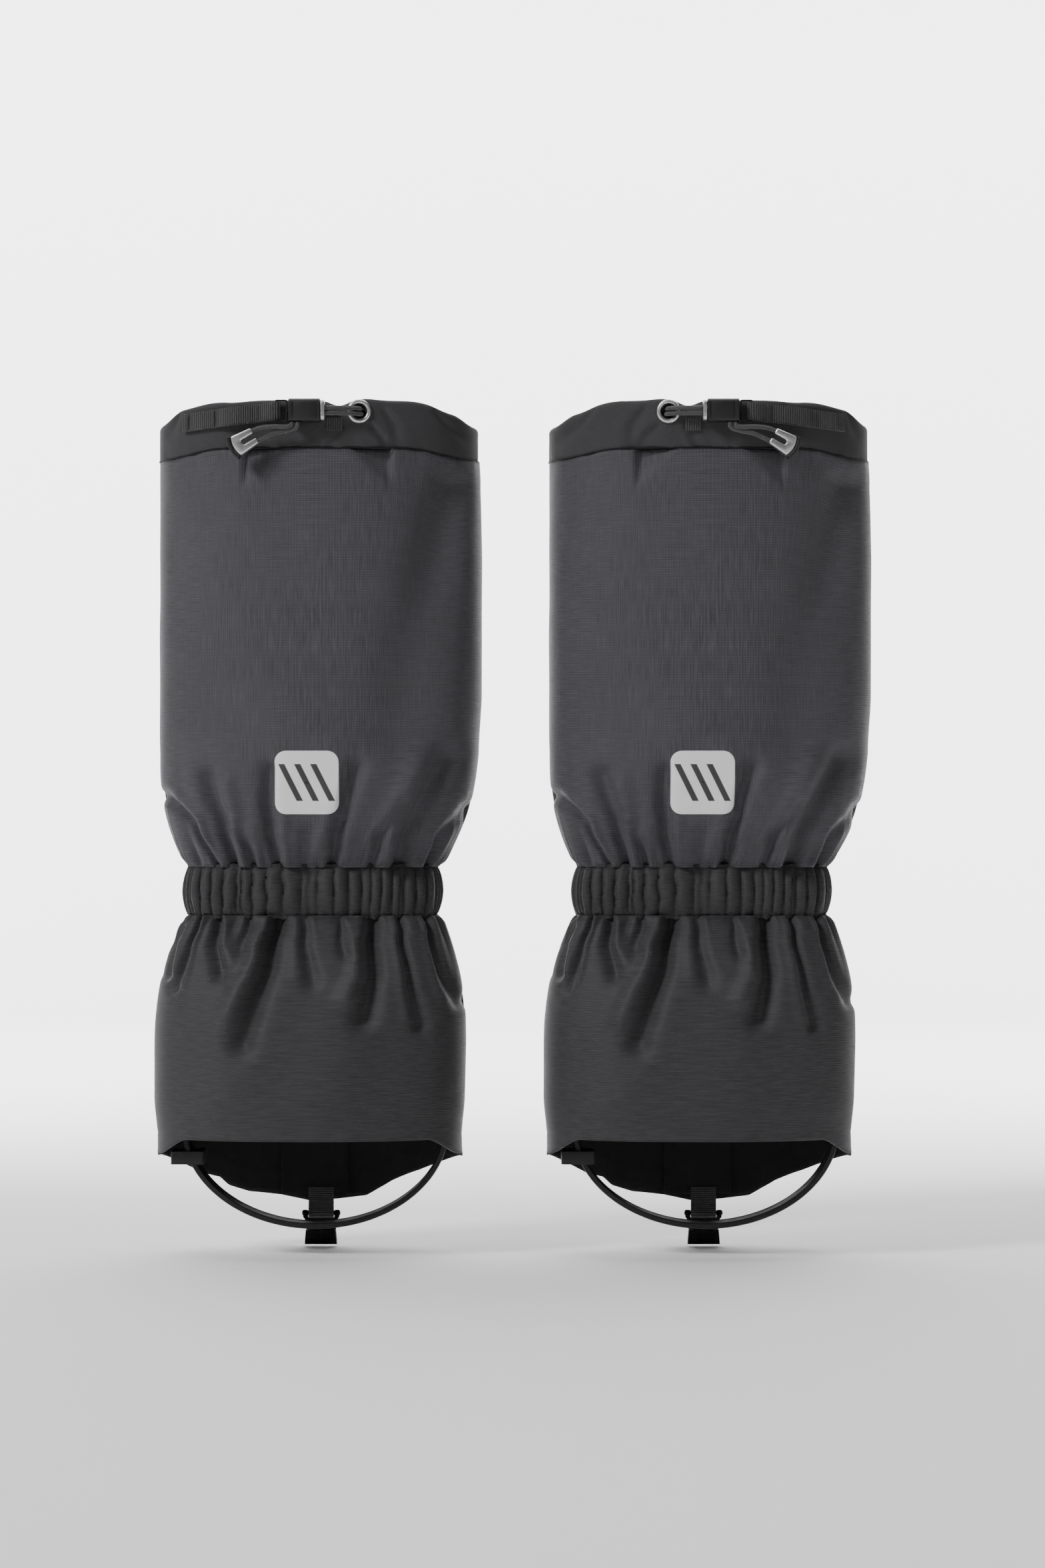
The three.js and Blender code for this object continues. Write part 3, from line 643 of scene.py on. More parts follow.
def cloth_solid(grid, flat, thickness, keep=None, centred=False):
    """A sheet of cloth with two faces and closed edges, from the grid of its outer face.

    Gives the points, the faces, which of the faces look inward, and the cloth coordinates.
    """
    rows, columns = grid.shape[:2]
    normals = grid_normals(grid)
    if centred:
        grid = grid + normals * thickness / 2
    inner = grid - normals * thickness
    points = np.concatenate([grid.reshape(-1, 3), inner.reshape(-1, 3)])
    outward, row, column = grid_faces(rows, columns)
    if keep is not None:
        outward = outward[keep[row[:, 0], column[:, 0]]]
    count = rows * columns
    inward = outward[:, ::-1] + count
    start = outward.ravel()
    end = np.roll(outward, -1, axis=1).ravel()
    open_edge = ~np.isin(start.astype(np.int64) * count + end, end.astype(np.int64) * count + start)
    a, b = start[open_edge], end[open_edge]
    edges = np.stack([b, a, a + count, b + count], 1)
    faces = np.concatenate([outward, inward, edges])
    looks_inward = np.zeros(len(faces), int)
    looks_inward[len(outward) : len(outward) + len(inward)] = 1
    used = np.unique(faces)
    number = np.full(len(points), -1)
    number[used] = np.arange(len(used))
    coordinates = np.concatenate([flat.reshape(-1, 2)] * 2)
    return points[used], number[faces].tolist(), looks_inward, coordinates[used]


def cloth_piece(name, side, body, grid, flat, thickness, slot, nodes, **looks):
    """A piece of cloth. Its inner face may have a finish of its own."""
    keep = looks.pop("keep", None)
    centred = looks.pop("centred", False)
    points, faces, inner, cloth = cloth_solid(grid, flat, thickness, keep, centred)
    if "inside" in looks:
        looks["inner"] = inner
    return piece(name, side, body, points, faces, slot, nodes, cloth=cloth, **looks)


def smooth_line(points, step):
    """A smooth line through points, with a new point at every step of its length."""
    points = np.asarray(points, float)
    ends = np.vstack([2 * points[0] - points[1], points, 2 * points[-1] - points[-2]])
    share = np.linspace(0, 1, 24, endpoint=False)[:, None]
    parts = []
    for before, start, end, after in zip(ends, ends[1:], ends[2:], ends[3:]):
        parts.append(
            0.5
            * (
                2 * start
                + (end - before) * share
                + (2 * before - 5 * start + 4 * end - after) * share**2
                + (3 * start - before - 3 * end + after) * share**3
            )
        )
    return even_line(np.vstack([*parts, points[-1:]]), step)


def even_line(line, step):
    """A line with a new point at every step of its length."""
    line = np.asarray(line, float)
    run = np.concatenate([[0], np.cumsum(np.linalg.norm(np.diff(line, axis=0), axis=1))])
    count = max(int(round(run[-1] / step)), 2)
    at = np.linspace(0, run[-1], count + 1)
    return np.stack([np.interp(at, run, line[:, i]) for i in range(3)], 1)


def tube(path, radius, sides=14):
    """A round tube along a path, with domed ends: points, faces and cloth coordinates."""
    path = np.asarray(path, float)
    tangents = np.gradient(path, axis=0)
    tangents /= np.linalg.norm(tangents, axis=1, keepdims=True)
    up = np.array([0.0, 1.0, 0.0]) if abs(tangents[0][1]) < 0.9 else np.array([1.0, 0.0, 0.0])
    rings, lengths = [], []
    run = 0.0
    angles = np.arange(sides) * 2 * math.pi / sides
    for i, (point, tangent) in enumerate(zip(path, tangents)):
        up = up - tangent * up.dot(tangent)
        up /= np.linalg.norm(up)
        side = np.cross(tangent, up)
        if i:
            run += float(np.linalg.norm(point - path[i - 1]))
        rings.append(point + radius * (np.cos(angles)[:, None] * up + np.sin(angles)[:, None] * side))
        lengths.append(run)
    first, last = rings[0], rings[-1]
    for depth, size in ((0.35, 0.8), (0.55, 0.35)):
        rings.insert(0, path[0] - tangents[0] * radius * depth + (first - path[0]) * size)
        rings.append(path[-1] + tangents[-1] * radius * depth + (last - path[-1]) * size)
        lengths.insert(0, lengths[0])
        lengths.append(lengths[-1])
    points = np.vstack(rings)
    faces, row, column = grid_faces(len(rings), sides, wrap=True)
    lengths = np.array(lengths)
    cloth = np.stack([column * (2 * math.pi * radius / sides), lengths[row]], -1)
    ends = [list(range(sides))[::-1], list(range(len(points) - sides, len(points)))]
    caps = [[(0.0, 0.0)] * sides, [(0.0, run)] * sides]
    return points, faces.tolist() + ends, [face.tolist() for face in cloth] + caps


def joined(parts):
    """Several (points, faces, cloth) shapes as one."""
    points, faces, cloth = [], [], []
    for part_points, part_faces, part_cloth in parts:
        start = sum(len(p) for p in points)
        faces += [[i + start for i in face] for face in part_faces]
        points.append(part_points)
        cloth += part_cloth
    return np.vstack(points), faces, cloth


def turned(profile, base, axis, segments=48):
    """A turned shape: its (radius, height) profile closes on itself round the axis."""
    axis = np.asarray(axis, float) / np.linalg.norm(axis)
    start = np.cross(axis, [0.0, 0.0, 1.0])
    start /= np.linalg.norm(start)
    other = np.cross(axis, start)
    angles = np.arange(segments) * 2 * math.pi / segments
    spokes = np.cos(angles)[:, None] * start + np.sin(angles)[:, None] * other
    rings = [np.asarray(base) + axis * z + spokes * max(r, 0.01) for r, z in [*profile, profile[0]]]
    faces, _, _ = grid_faces(len(rings), segments, wrap=True)
    count = (len(rings) - 1) * segments
    return np.vstack(rings[:-1]), (faces % count).tolist()


AXES = {"X": (1, 2, 0), "Y": (0, 2, 1), "Z": (0, 1, 2)}


def prism(outline, axis, low, high):
    """A flat outline in the two other axes' order, carried along an axis."""
    outline = np.asarray(outline, float)
    first, second, third = AXES[axis]
    count = len(outline)
    points = np.zeros((2 * count, 3))
    for k, level in enumerate((low, high)):
        points[k * count : (k + 1) * count, first] = outline[:, 0]
        points[k * count : (k + 1) * count, second] = outline[:, 1]
        points[k * count : (k + 1) * count, third] = level
    sides = [[i, (i + 1) % count, (i + 1) % count + count, i + count] for i in range(count)]
    return points, [list(range(count))[::-1], list(range(count, 2 * count)), *sides]


def rounded(left, right, low, high, radius, steps=6):
    """A rectangle's outline with round corners."""
    outline = []
    for x, y, start in (
        (right - radius, low + radius, -90),
        (right - radius, high - radius, 0),
        (left + radius, high - radius, 90),
        (left + radius, low + radius, 180),
    ):
        for k in range(steps + 1):
            angle = math.radians(start + 90 * k / steps)
            outline.append((x + radius * math.cos(angle), y + radius * math.sin(angle)))
    return outline


def arc(x, y, radius, start, end, steps):
    """Points of an arc between two angles in radians."""
    return [
        (x + radius * math.cos(a), y + radius * math.sin(a))
        for a in (start + (end - start) * k / steps for k in range(steps + 1))
    ]


def outward(mesh):
    """Turns every face of a closed mesh outward."""
    work = bmesh.new()
    work.from_mesh(mesh)
    bmesh.ops.recalc_face_normals(work, faces=work.faces)
    work.to_mesh(mesh)
    work.free()


def carved(made, cutters):
    """Cuts shapes, given as points and faces, out of a piece."""
    outward(made.data)
    axis, hand = made["leg_axis"], made["leg_hand"]
    for points, faces in cutters:
        placed = np.asarray(points, float) * MM
        placed[:, 0] = placed[:, 0] * hand + axis
        mesh = bpy.data.meshes.new("cutter")
        mesh.from_pydata(placed.tolist(), [], faces)
        outward(mesh)
        cutter = bpy.data.objects.new("cutter", mesh)
        bpy.context.scene.collection.objects.link(cutter)
        cut = made.modifiers.new("cut", "BOOLEAN")
        cut.operation, cut.solver, cut.object = "DIFFERENCE", "EXACT", cutter
        settled(made)
        bpy.data.objects.remove(cutter)
    return made


def settled(made):
    """Applies a piece's modifiers to its mesh."""
    bpy.context.view_layer.update()
    shown = made.evaluated_get(bpy.context.evaluated_depsgraph_get())
    mesh = bpy.data.meshes.new_from_object(shown)
    made.modifiers.clear()
    made.data = mesh


def hard_piece(name, side, body, shape, slot, nodes=(), cutters=(), edge=0.4, mirrored=False):
    """A moulded or metal piece with cut-outs and softened edges."""
    points, faces = shape
    made = piece(name, side, None, points, faces, slot, nodes, mirrored)
    made["leg_axis"], made["leg_hand"] = side.axis, side.hand if mirrored else 1
    carved(made, cutters)
    soften = made.modifiers.new("edges", "BEVEL")
    soften.width, soften.segments, soften.limit_method = edge * MM, 3, "ANGLE"
    soften.angle_limit = math.radians(28)
    soften.use_clamp_overlap = True
    settled(made)
    made.data.polygons.foreach_set("use_smooth", [True] * len(made.data.polygons))
    made.data.set_sharp_from_angle(angle=math.radians(38))
    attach(made, f"{side.name}_{body}")
    return made


# ---- The shape of the sleeve ---------------------------------------------------------------------


def smooth(share):
    """Eases from 0 to 1 as the share goes from 0 to 1."""
    share = np.clip(share, 0, 1)
    return share * share * (3 - 2 * share)


def fade(share):
    """Rises quickly from 0 and eases into 1."""
    return 1 - (1 - np.clip(share, 0, 1)) ** 2.5


def section(z):
    """Half width and rear depth of the sleeve at a height."""
    up, down = fade((z - BAND_TOP) / CALF_FLARE), fade((BAND_FOOT - z) / SKIRT_FLARE)
    tuck = 2.4 * smooth((22 - z) / 24)
    half = ANKLE[0] + (CALF[0] - ANKLE[0]) * up + (BOOT[0] - ANKLE[0]) * down - tuck
    rear = ANKLE[1] + (CALF[1] - ANKLE[1]) * up + (BOOT[1] - ANKLE[1]) * down - tuck / 2
    return half, rear


def turn_at(x, z, rear):
    """The turn at which the wall stands at a given x, in front or behind."""
    from_front = np.arcsin(np.minimum(np.abs(x) / section(z)[0], 1) ** (SQUARENESS / 2))
    turn = math.pi - from_front if rear else from_front
    return np.where(np.asarray(x) < 0, -turn, turn)


def wall(turn, z):
    """A point of the sleeve's outer wall and its outward normal. The turn is 0 in front."""
    turn, z = np.broadcast_arrays(np.asarray(turn, float), np.asarray(z, float))
    half, rear = section(z)
    power = 2 / SQUARENESS
    sine, cosine = np.sin(turn), np.cos(turn)
    depth = np.where(cosine > 0, FRONT_DEPTH, rear)
    x = half * np.sign(sine) * np.abs(sine) ** power
    y = depth * np.sign(cosine) * np.abs(cosine) ** power
    slope_x = np.sign(x) / half * np.abs(x / half) ** (SQUARENESS - 1)
    slope_y = np.sign(y) / depth * np.abs(y / depth) ** (SQUARENESS - 1)
    size = np.maximum(np.hypot(slope_x, slope_y), 1e-9)
    normal = np.stack([slope_x / size, slope_y / size, np.zeros_like(x)], -1)
    # Worn and packed flat, the sleeve hangs a little to one side below the calf.
    sway = np.interp(z, [-40, 0, 60, BAND_FOOT, BAND_TOP, 205], [-4.6, -5.2, -5.4, -3.8, -3.4, 0])
    sway = sway * np.where(cosine > 0, smooth((np.abs(x) - 28) / 30), 1)
    # The collar's ends drop beside the leg.
    drop = 4.8 * smooth((np.abs(x) - 48) / 34) * smooth((z - 290) / 70)
    return np.stack([x + sway, y, z - drop], -1), normal


def front_point(x, z, offset=0.0):
    """A point off the sleeve's undisturbed front wall."""
    point, normal = wall(turn_at(x, z, False), z)
    return point + normal * np.asarray(offset)[..., None]


# Front hem, as height against x, and how the rear hem drops at the gaiter's two sides.
FRONT_HEM_X = (-86, -61, -52, -48, -39, -23, -8, 8, 24, 31, 40, 58, 86)
FRONT_HEM_Z = (-9, -23.5, -26.2, -30.8, -34.4, -36.4, -39.6, -38.8, -36.8, -32.8, -28.4, -22.2, -10)


def hem_at(turn):
    """Height of the skirt's hem."""
    half = BOOT[0] - 2.4
    x = half * np.sign(np.sin(turn)) * np.abs(np.sin(turn)) ** (2 / SQUARENESS)
    front = np.interp(x, FRONT_HEM_X, FRONT_HEM_Z)
    rear = -9.5 * smooth((np.abs(x) - 64) / 20) - 0.6
    return np.where(np.cos(turn) > 0, front, rear)


# ---- Folds ---------------------------------------------------------------------------------------


def uneven(position, spacing, seed):
    """Smooth uneven rise and fall between -1 and 1, with a turning point at every spacing."""
    marks = np.random.default_rng(seed).uniform(-1, 1, 4000)
    at = np.asarray(position) / spacing + 1000
    low = np.floor(at).astype(int)
    share = smooth(at - low)
    return marks[low % 4000] * (1 - share) + marks[(low + 1) % 4000] * share


def crease(x, z, line, half, depth, lip=0.0):
    """How far fabric moves in along a crease that follows (x, z) points, and out along its lip."""
    nearest = np.full(np.shape(x), 1e9)
    beside = np.zeros(np.shape(x))
    along = np.zeros(np.shape(x))
    count = len(line) - 1
    for k in range(count):
        (x0, z0), (x1, z1) = line[k], line[k + 1]
        dx, dz = x1 - x0, z1 - z0
        share = np.clip(((x - x0) * dx + (z - z0) * dz) / (dx * dx + dz * dz), 0, 1)
        away_x, away_z = x - x0 - dx * share, z - z0 - dz * share
        away = np.hypot(away_x, away_z)
        closer = away < nearest
        nearest = np.where(closer, away, nearest)
        beside = np.where(closer, np.sign(dx * away_z - dz * away_x) * away, beside)
        along = np.where(closer, (k + share) / count, along)
    strength = 1 - 0.2 * along
    width = half * (0.5 + 0.55 * along)
    valley = -depth * strength * np.exp(-((nearest / width) ** 2))
    ridge = abs(lip) * depth * strength * np.exp(-(((beside * np.sign(lip) - 1.9 * width) / width) ** 2))
    ridge = ridge * smooth((1 - along) * 5)
    return valley + ridge * np.exp(-np.maximum(nearest - 3 * width, 0) / 4)


PATCH = (-4.9, 189.8)  # middle of the reflective patch

# Creases above the band, each from its foot at the seam upward: line, half width, depth, lip.
CALF_CREASES = (
    (((-45, 142), (-51, 168), (-60, 193)), 5.0, 1.0, -0.35),
    (((-21, 142), (-26, 172), (-25.5, 196)), 5.0, 0.95, -0.3),
    (((6, 142), (13, 172), (20.5, 198)), 5.0, 1.0, 0.3),
    (((41, 142), (50, 168), (70, 203)), 6.5, 1.15, 0.35),
    (((-53, 142), (-67, 168), (-83, 183)), 2.6, 0.7, -0.4),
    (((27, 142), (34, 160), (46, 178)), 3.4, 0.6, 0.3),
    (((-34, 142), (-37, 154), (-42, 166)), 3.0, 0.55, -0.3),
    (((-8, 142), (-7, 154), (-4, 164)), 3.6, 0.55, 0.2),
    (((57, 142), (66, 160), (79, 176)), 3.2, 0.6, 0.35),
    (((-2, 142), (2, 150), (4, 158)), 2.4, 0.4, 0.2),
)
# Creases below the band, from the seam downward.
SKIRT_CREASES = (
    (((-54, 121), (-55, 100), (-52.5, 87)), 4.2, 0.8, 0.3),
    (((-20, 121), (-26, 92), (-35, 68), (-39, 52)), 6.5, 1.4, -0.45),
    (((-7, 121), (-5, 98), (-2.5, 84)), 4.2, 0.7, -0.3),
    (((29, 121), (30, 86), (25.5, 65)), 6.5, 1.35, -0.4),
    (((43, 121), (50, 82), (56, 60)), 3.6, 0.75, -0.3),
    (((57, 121), (66, 88), (75, 72)), 3.2, 0.6, -0.3),
    (((-62, 121), (-72, 94), (-78, 80)), 2.4, 0.7, 0.4),
    (((-70, 121), (-79, 98), (-83, 86)), 2.2, 0.6, 0.4),
    (((12, 121), (13, 108), (15, 98)), 3.0, 0.5, 0.3),
    (((-36, 121), (-38, 110), (-41, 101)), 3.2, 0.5, 0.3),
)
# Where the valleys between the band's pleats lie behind the leg.
REAR_PLEATS = (
    -67, -62.6, -56.9, -50.5, -43.2, -40.4, -34.8, -27.4, -18.4, -8.9, -4.9, 0.1, 8.6, 16.5, 23.2, 28.3,
    33.9, 39.5, 44, 46.3, 51.9, 57.5, 62,
)


def pleat_valleys():
    """Turns of all the valleys round the band: the marked ones behind, even ones in front."""
    behind = turn_at(np.array(REAR_PLEATS) + 3.4, 131.0, True) % (2 * math.pi)
    steps = np.random.default_rng(11).uniform(0.7, 1.3, 48)
    sides = [(0.0, behind.min()), (behind.max(), 2 * math.pi)]
    turns = [*behind]
    for (start, end), part in zip(sides, (steps[:24], steps[24:])):
        marks = np.cumsum(part)
        turns += list(start + (end - start) * np.concatenate([[0], marks / marks[-1]]))
    return np.unique(np.round(turns, 5))


VALLEYS = pleat_valleys()


def pleats(turn, z):
    """How far the band's pleats stand up, from 0 in a valley to 1 on a crest."""
    turn = turn % (2 * math.pi)
    bent = turn + 0.012 * uneven(z + 40 * turn, 7.0, 5)
    at = np.clip(np.searchsorted(VALLEYS, bent) - 1, 0, len(VALLEYS) - 2)
    wide = VALLEYS[at + 1] - VALLEYS[at]
    share = np.clip((bent - VALLEYS[at]) / wide, 0, 1)
    lean = np.random.default_rng(3).uniform(0.7, 1.5, len(VALLEYS))[at]
    share = share**lean
    return (4 * share * (1 - share)) ** 0.38 * np.clip(wide * 68 / 6, 0.55, 1.25)


def calf_folds(x, z, turn, hand):
    """Relief of the calf panel: gathers from the band, placed creases, pockets below the collar."""
    depth = sizes().fold / MM
    arc_length = turn / (2 * math.pi) * ROUND
    up = z - BAND_TOP
    moved = (pleats(turn, z) - 0.75) * (0.7 + 1.5 * smooth(up / 4)) * np.exp(-up / 8)
    moved = moved + 2.2 * uneven(arc_length + 0.05 * up, 6.5, 21) * np.exp(-up / 16) * smooth(up / 3)
    moved = moved + 2.3 * uneven(arc_length + 0.1 * up, 15, 22) * np.exp(-up / 30) * smooth(up / 6)
    moved = moved - 0.3 * np.exp(-up / 1.6)
    moved = moved + (
        3.0 * uneven(x + 0.35 * z, 29, 23) * smooth(up / 60) * smooth((COLLAR_SEAM - z) / 40)
        * smooth((88 - np.abs(x)) / 14)
    )
    moved = moved + 0.8 * uneven(x * 0.6 + z, 24, 24) * smooth(up / 50) * smooth((92 - np.abs(x)) / 14)
    behind = np.cos(turn) < 0.15
    wander = x + 0.9 * uneven(z, 9, 25)
    creases = sum(crease(wander, z, line, half, depth * deep, lip) for line, half, deep, lip in CALF_CREASES)
    front = sum(
        crease(-wander, z, [(a * 0.9 + 5, b) for a, b in line], half, depth * deep * 0.7, lip)
        for line, half, deep, lip in CALF_CREASES[::2]
    )
    moved = moved + np.where(behind, creases, front * smooth((np.abs(x) - 27) / 12))
    # Broad fall of the cloth from the outer shoulder to the band.
    moved = moved + np.where(behind, crease(x, z, ((72, 352), (58, 290), (44, 215)), 19, 6.0, 0.35), 0)
    seam = COLLAR_SEAM
    moved = moved * (0.2 + 0.8 * smooth((seam - z) / 16))
    for edge, way in ((-38.7, 1), (39.8, -1)):
        inside = (hand * x - edge) * way
        slant = np.clip(inside / 22, 0, 1) + np.clip((seam - z) / 21.5, 0, 1)
        pocket = 5.2 * np.clip(1 - slant, 0, 1) ** 0.7 * smooth((inside + 1.1) / 1.6)
        moved = moved - np.where(behind, pocket, 0)
    # The stiff patch keeps the cloth under it nearly flat.
    off_patch = np.maximum(np.abs(x - PATCH[0]), np.abs(z - PATCH[1])) - 17
    calm = np.where(behind, 0.15 + 0.85 * smooth((off_patch + 2.5) / 5), 1)
    return moved * calm + 0.25 * uneven(arc_length, 6, 26) * np.exp((z - seam) / 8)


def skirt_folds(x, z, turn):
    """Relief of the skirt: gathers that fall from the band and run out above the hem."""
    depth = sizes().fold / MM
    arc_length = turn / (2 * math.pi) * ROUND
    down = BAND_FOOT - z
    moved = (pleats(turn, z) - 0.75) * (0.7 + 1.3 * smooth(down / 4)) * np.exp(-down / 7)
    moved = moved + 2.0 * uneven(arc_length - 0.05 * down, 6.0, 31) * np.exp(-down / 12) * smooth(down / 2)
    moved = moved + 2.2 * uneven(arc_length - 0.1 * down, 14, 32) * np.exp(-down / 26) * smooth(down / 5)
    moved = moved - 0.3 * np.exp(-down / 1.6)
    moved = moved + 1.7 * uneven(x - 0.3 * z, 28, 33) * smooth(down / 60) * smooth((z + 5) / 30)
    wander = x + 0.8 * uneven(z, 8, 35)
    behind = np.cos(turn) < 0.15
    creases = sum(crease(wander, z, line, half, depth * deep, lip) for line, half, deep, lip in SKIRT_CREASES)
    front = sum(
        crease(-wander, z, [(a * 0.95 - 4, b) for a, b in line], half, depth * deep * 0.7, lip)
        for line, half, deep, lip in SKIRT_CREASES[::2]
    )
    moved = moved + np.where(behind, creases, front * smooth((np.abs(x) - 27) / 12))
    # The hem is turned up, which makes a soft roll at the very edge.
    roll = np.exp(-(((z - hem_at(turn) - 0.8) / 0.9) ** 2)) * 0.5
    press = -0.35 * np.exp(-(((z - hem_at(turn) - 11) / 0.8) ** 2))
    return moved + roll + press


def collar_folds(x, z, turn, hand):
    """Relief of the collar's outer wall: puckers beside the eyelet and at one end."""
    arc_length = turn / (2 * math.pi) * ROUND
    low = z - COLLAR_SEAM
    moved = 0.35 * uneven(arc_length, 5.5, 41) * np.exp(-low / 5)
    moved = moved + 0.4 * uneven(x + 0.4 * z, 16, 42)
    near = hand * x
    marks = (
        (((29, 379), (35, 373), (38, 367)), 2.6, 1.5, 0.4),
        (((14, 378), (10, 372), (7, 367)), 2.0, 1.0, 0.4),
        (((36, 388), (42, 379), (42, 368)), 3.6, 1.2, 0.3),
        (((63, 391), (70, 384), (80, 378)), 3.4, 1.3, -0.2),
        (((-18, 373), (-17, 366)), 1.5, 0.6, 0.3),
        (((-9, 372), (-10, 366)), 1.3, 0.6, 0.3),
        (((1, 373), (2, 366)), 1.5, 0.7, 0.3),
        (((-74, 391), (-79, 381)), 2.8, 1.2, 0.3),
        (((-40, 392), (-38, 386)), 2.0, 0.7, 0.3),
    )
    creases = sum(crease(near, z, line, half, deep, lip) for line, half, deep, lip in marks)
    return np.maximum(moved + np.where(np.cos(turn) < 0.15, creases, 0), -2.2)


def end_drop(near):
    """How much lower the rim lies at the collar's two ends than at its middle."""
    far_end = 2.6 * smooth((-near - 72) / 14)
    near_end = 3.6 * smooth((near - 68) / 18)
    return far_end + near_end + 3.5 * smooth((np.abs(near) - 73) / 13)


def rim_at(x, turn, hand):
    """How far the collar's rim rises or dips."""
    near = hand * x
    behind = (
        -3.0 * np.exp(-(((near - 12.5) / 6) ** 2))
        + 0.8 * np.exp(-(((near - 27) / 7) ** 2))
        - 1.8 * np.exp(-(((near - 70) / 7) ** 2))
        - 0.9 * np.exp(-(((near + 45) / 9) ** 2))
    )
    front = 0.6 * uneven(x, 14, 51) * smooth((80 - np.abs(x)) / 10)
    return np.where(np.cos(turn) < 0, behind, front) - end_drop(near) - 0.4


def stations(count, z):
    """Turns from one front edge round the leg to the other."""
    edge = turn_at(SLIT, z, False)
    return edge + (2 * math.pi - 2 * edge) * np.linspace(0, 1, count)


def sleeve_grid(count, heights):
    """Grid of turns, heights, wall points and normals for a panel that goes round the leg."""
    turn = np.stack([stations(count, z) for z in np.full(len(heights), 200.0)], 1)
    z = np.broadcast_to(np.asarray(heights, float), turn.shape)
    return turn, z


def laid(turn, z, relief):
    """Points on the wall moved out by the relief."""
    point, normal = wall(turn, z)
    return point + normal * relief[..., None]


def flat_cloth(turn, z):
    """Fabric coordinates in millimetres, round the sleeve and up it."""
    return np.stack([turn / (2 * math.pi) * ROUND, z], -1)


# ---- Fabric panels -------------------------------------------------------------------------------


def upper_shell(side):
    """Calf panel, from the band's top seam to the collar seam."""
    seam = BAND_TOP + 0.3
    share = np.linspace(0, 1, 128)
    heights = seam + (COLLAR_SEAM - 0.3 - seam) * (0.45 * share + 0.55 * share**1.6)
    turn, z = sleeve_grid(330, heights)
    point, _ = wall(turn, z)
    grid = laid(turn, z, calf_folds(point[..., 0], z, turn, side.hand))
    made = cloth_piece(
        "upper_shell", side, "gaiter", grid, flat_cloth(turn, z), sizes().cloth / MM, "upper_fabric",
        ["upper_shell"], inside="inner_fabric",
    )
    return made


def ankle_band(side):
    """Gathered band, pleated between its two seams."""
    allowance, tuck = np.array([0.7, 1.6]), 1.5
    between = np.linspace(BAND_FOOT, BAND_TOP, 26)
    heights = np.concatenate([BAND_FOOT - allowance[::-1], between, BAND_TOP + allowance])
    turn, z = sleeve_grid(640, heights)
    share = np.clip((z - BAND_FOOT) / (BAND_TOP - BAND_FOOT), 0, 1)
    pinch = 0.5 + 0.5 * np.sin(math.pi * share) ** 0.6
    deep = sizes().pleat / MM
    relief = deep * (pleats(turn, z) * pinch - 0.55) + 1.1 * np.sin(math.pi * share)
    relief = relief + 0.25 * uneven(turn / (2 * math.pi) * ROUND, 2.4, 61) * (1 - np.sin(math.pi * share))
    # The seam allowances turn in behind the shell's and the skirt's edges.
    relief = relief - tuck * smooth(np.maximum(BAND_FOOT - z, z - BAND_TOP) / allowance[0])
    ruffled = z + 0.5 * uneven(turn / (2 * math.pi) * ROUND, 2.2, 62) * (np.abs(share - 0.5) * 2) ** 8
    made = cloth_piece(
        "ankle_band", side, "gaiter", laid(turn, ruffled, relief), flat_cloth(turn * 1.35, z),
        sizes().cloth / MM, "band_fabric", ["ankle_band"], inside="inner_fabric",
    )
    return made


def ankle_elastic(side):
    """Wide elastic inside the band, behind and at the sides."""
    turn, z = np.meshgrid(
        np.radians(np.linspace(40, 320, 220)), np.linspace(BAND_FOOT + 1.5, BAND_TOP - 1.5, 14), indexing="ij"
    )
    point, normal = wall(turn, z)
    grid = point + normal * (-3.4 + 0.25 * uneven(turn * 68, 2.0, 63))[..., None]
    flat = np.stack([z, turn * 68], -1)
    made = cloth_piece(
        "ankle_elastic", side, "gaiter", grid, flat, 1.2, "inner_elastic", ["ankle_elastic"]
    )
    return made


def lower_skirt(side):
    """Skirt over the boot, from the band's lower seam to the hem."""
    turn, share = sleeve_grid(420, np.linspace(0, 1, 84))
    seam = BAND_FOOT - 0.3
    hem = hem_at(turn)
    z = seam + (hem - seam) * (0.5 * share + 0.5 * share**1.5)
    point, _ = wall(turn, z)
    grid = laid(turn, z, skirt_folds(point[..., 0], z, turn))
    # The rows run downward here, so they are turned round to face outward.
    made = cloth_piece(
        "lower_skirt", side, "gaiter", grid[:, ::-1], flat_cloth(turn, z)[:, ::-1], sizes().cloth / MM,
        "skirt_fabric", ["lower_skirt"], inside="inner_fabric",
    )
    return made


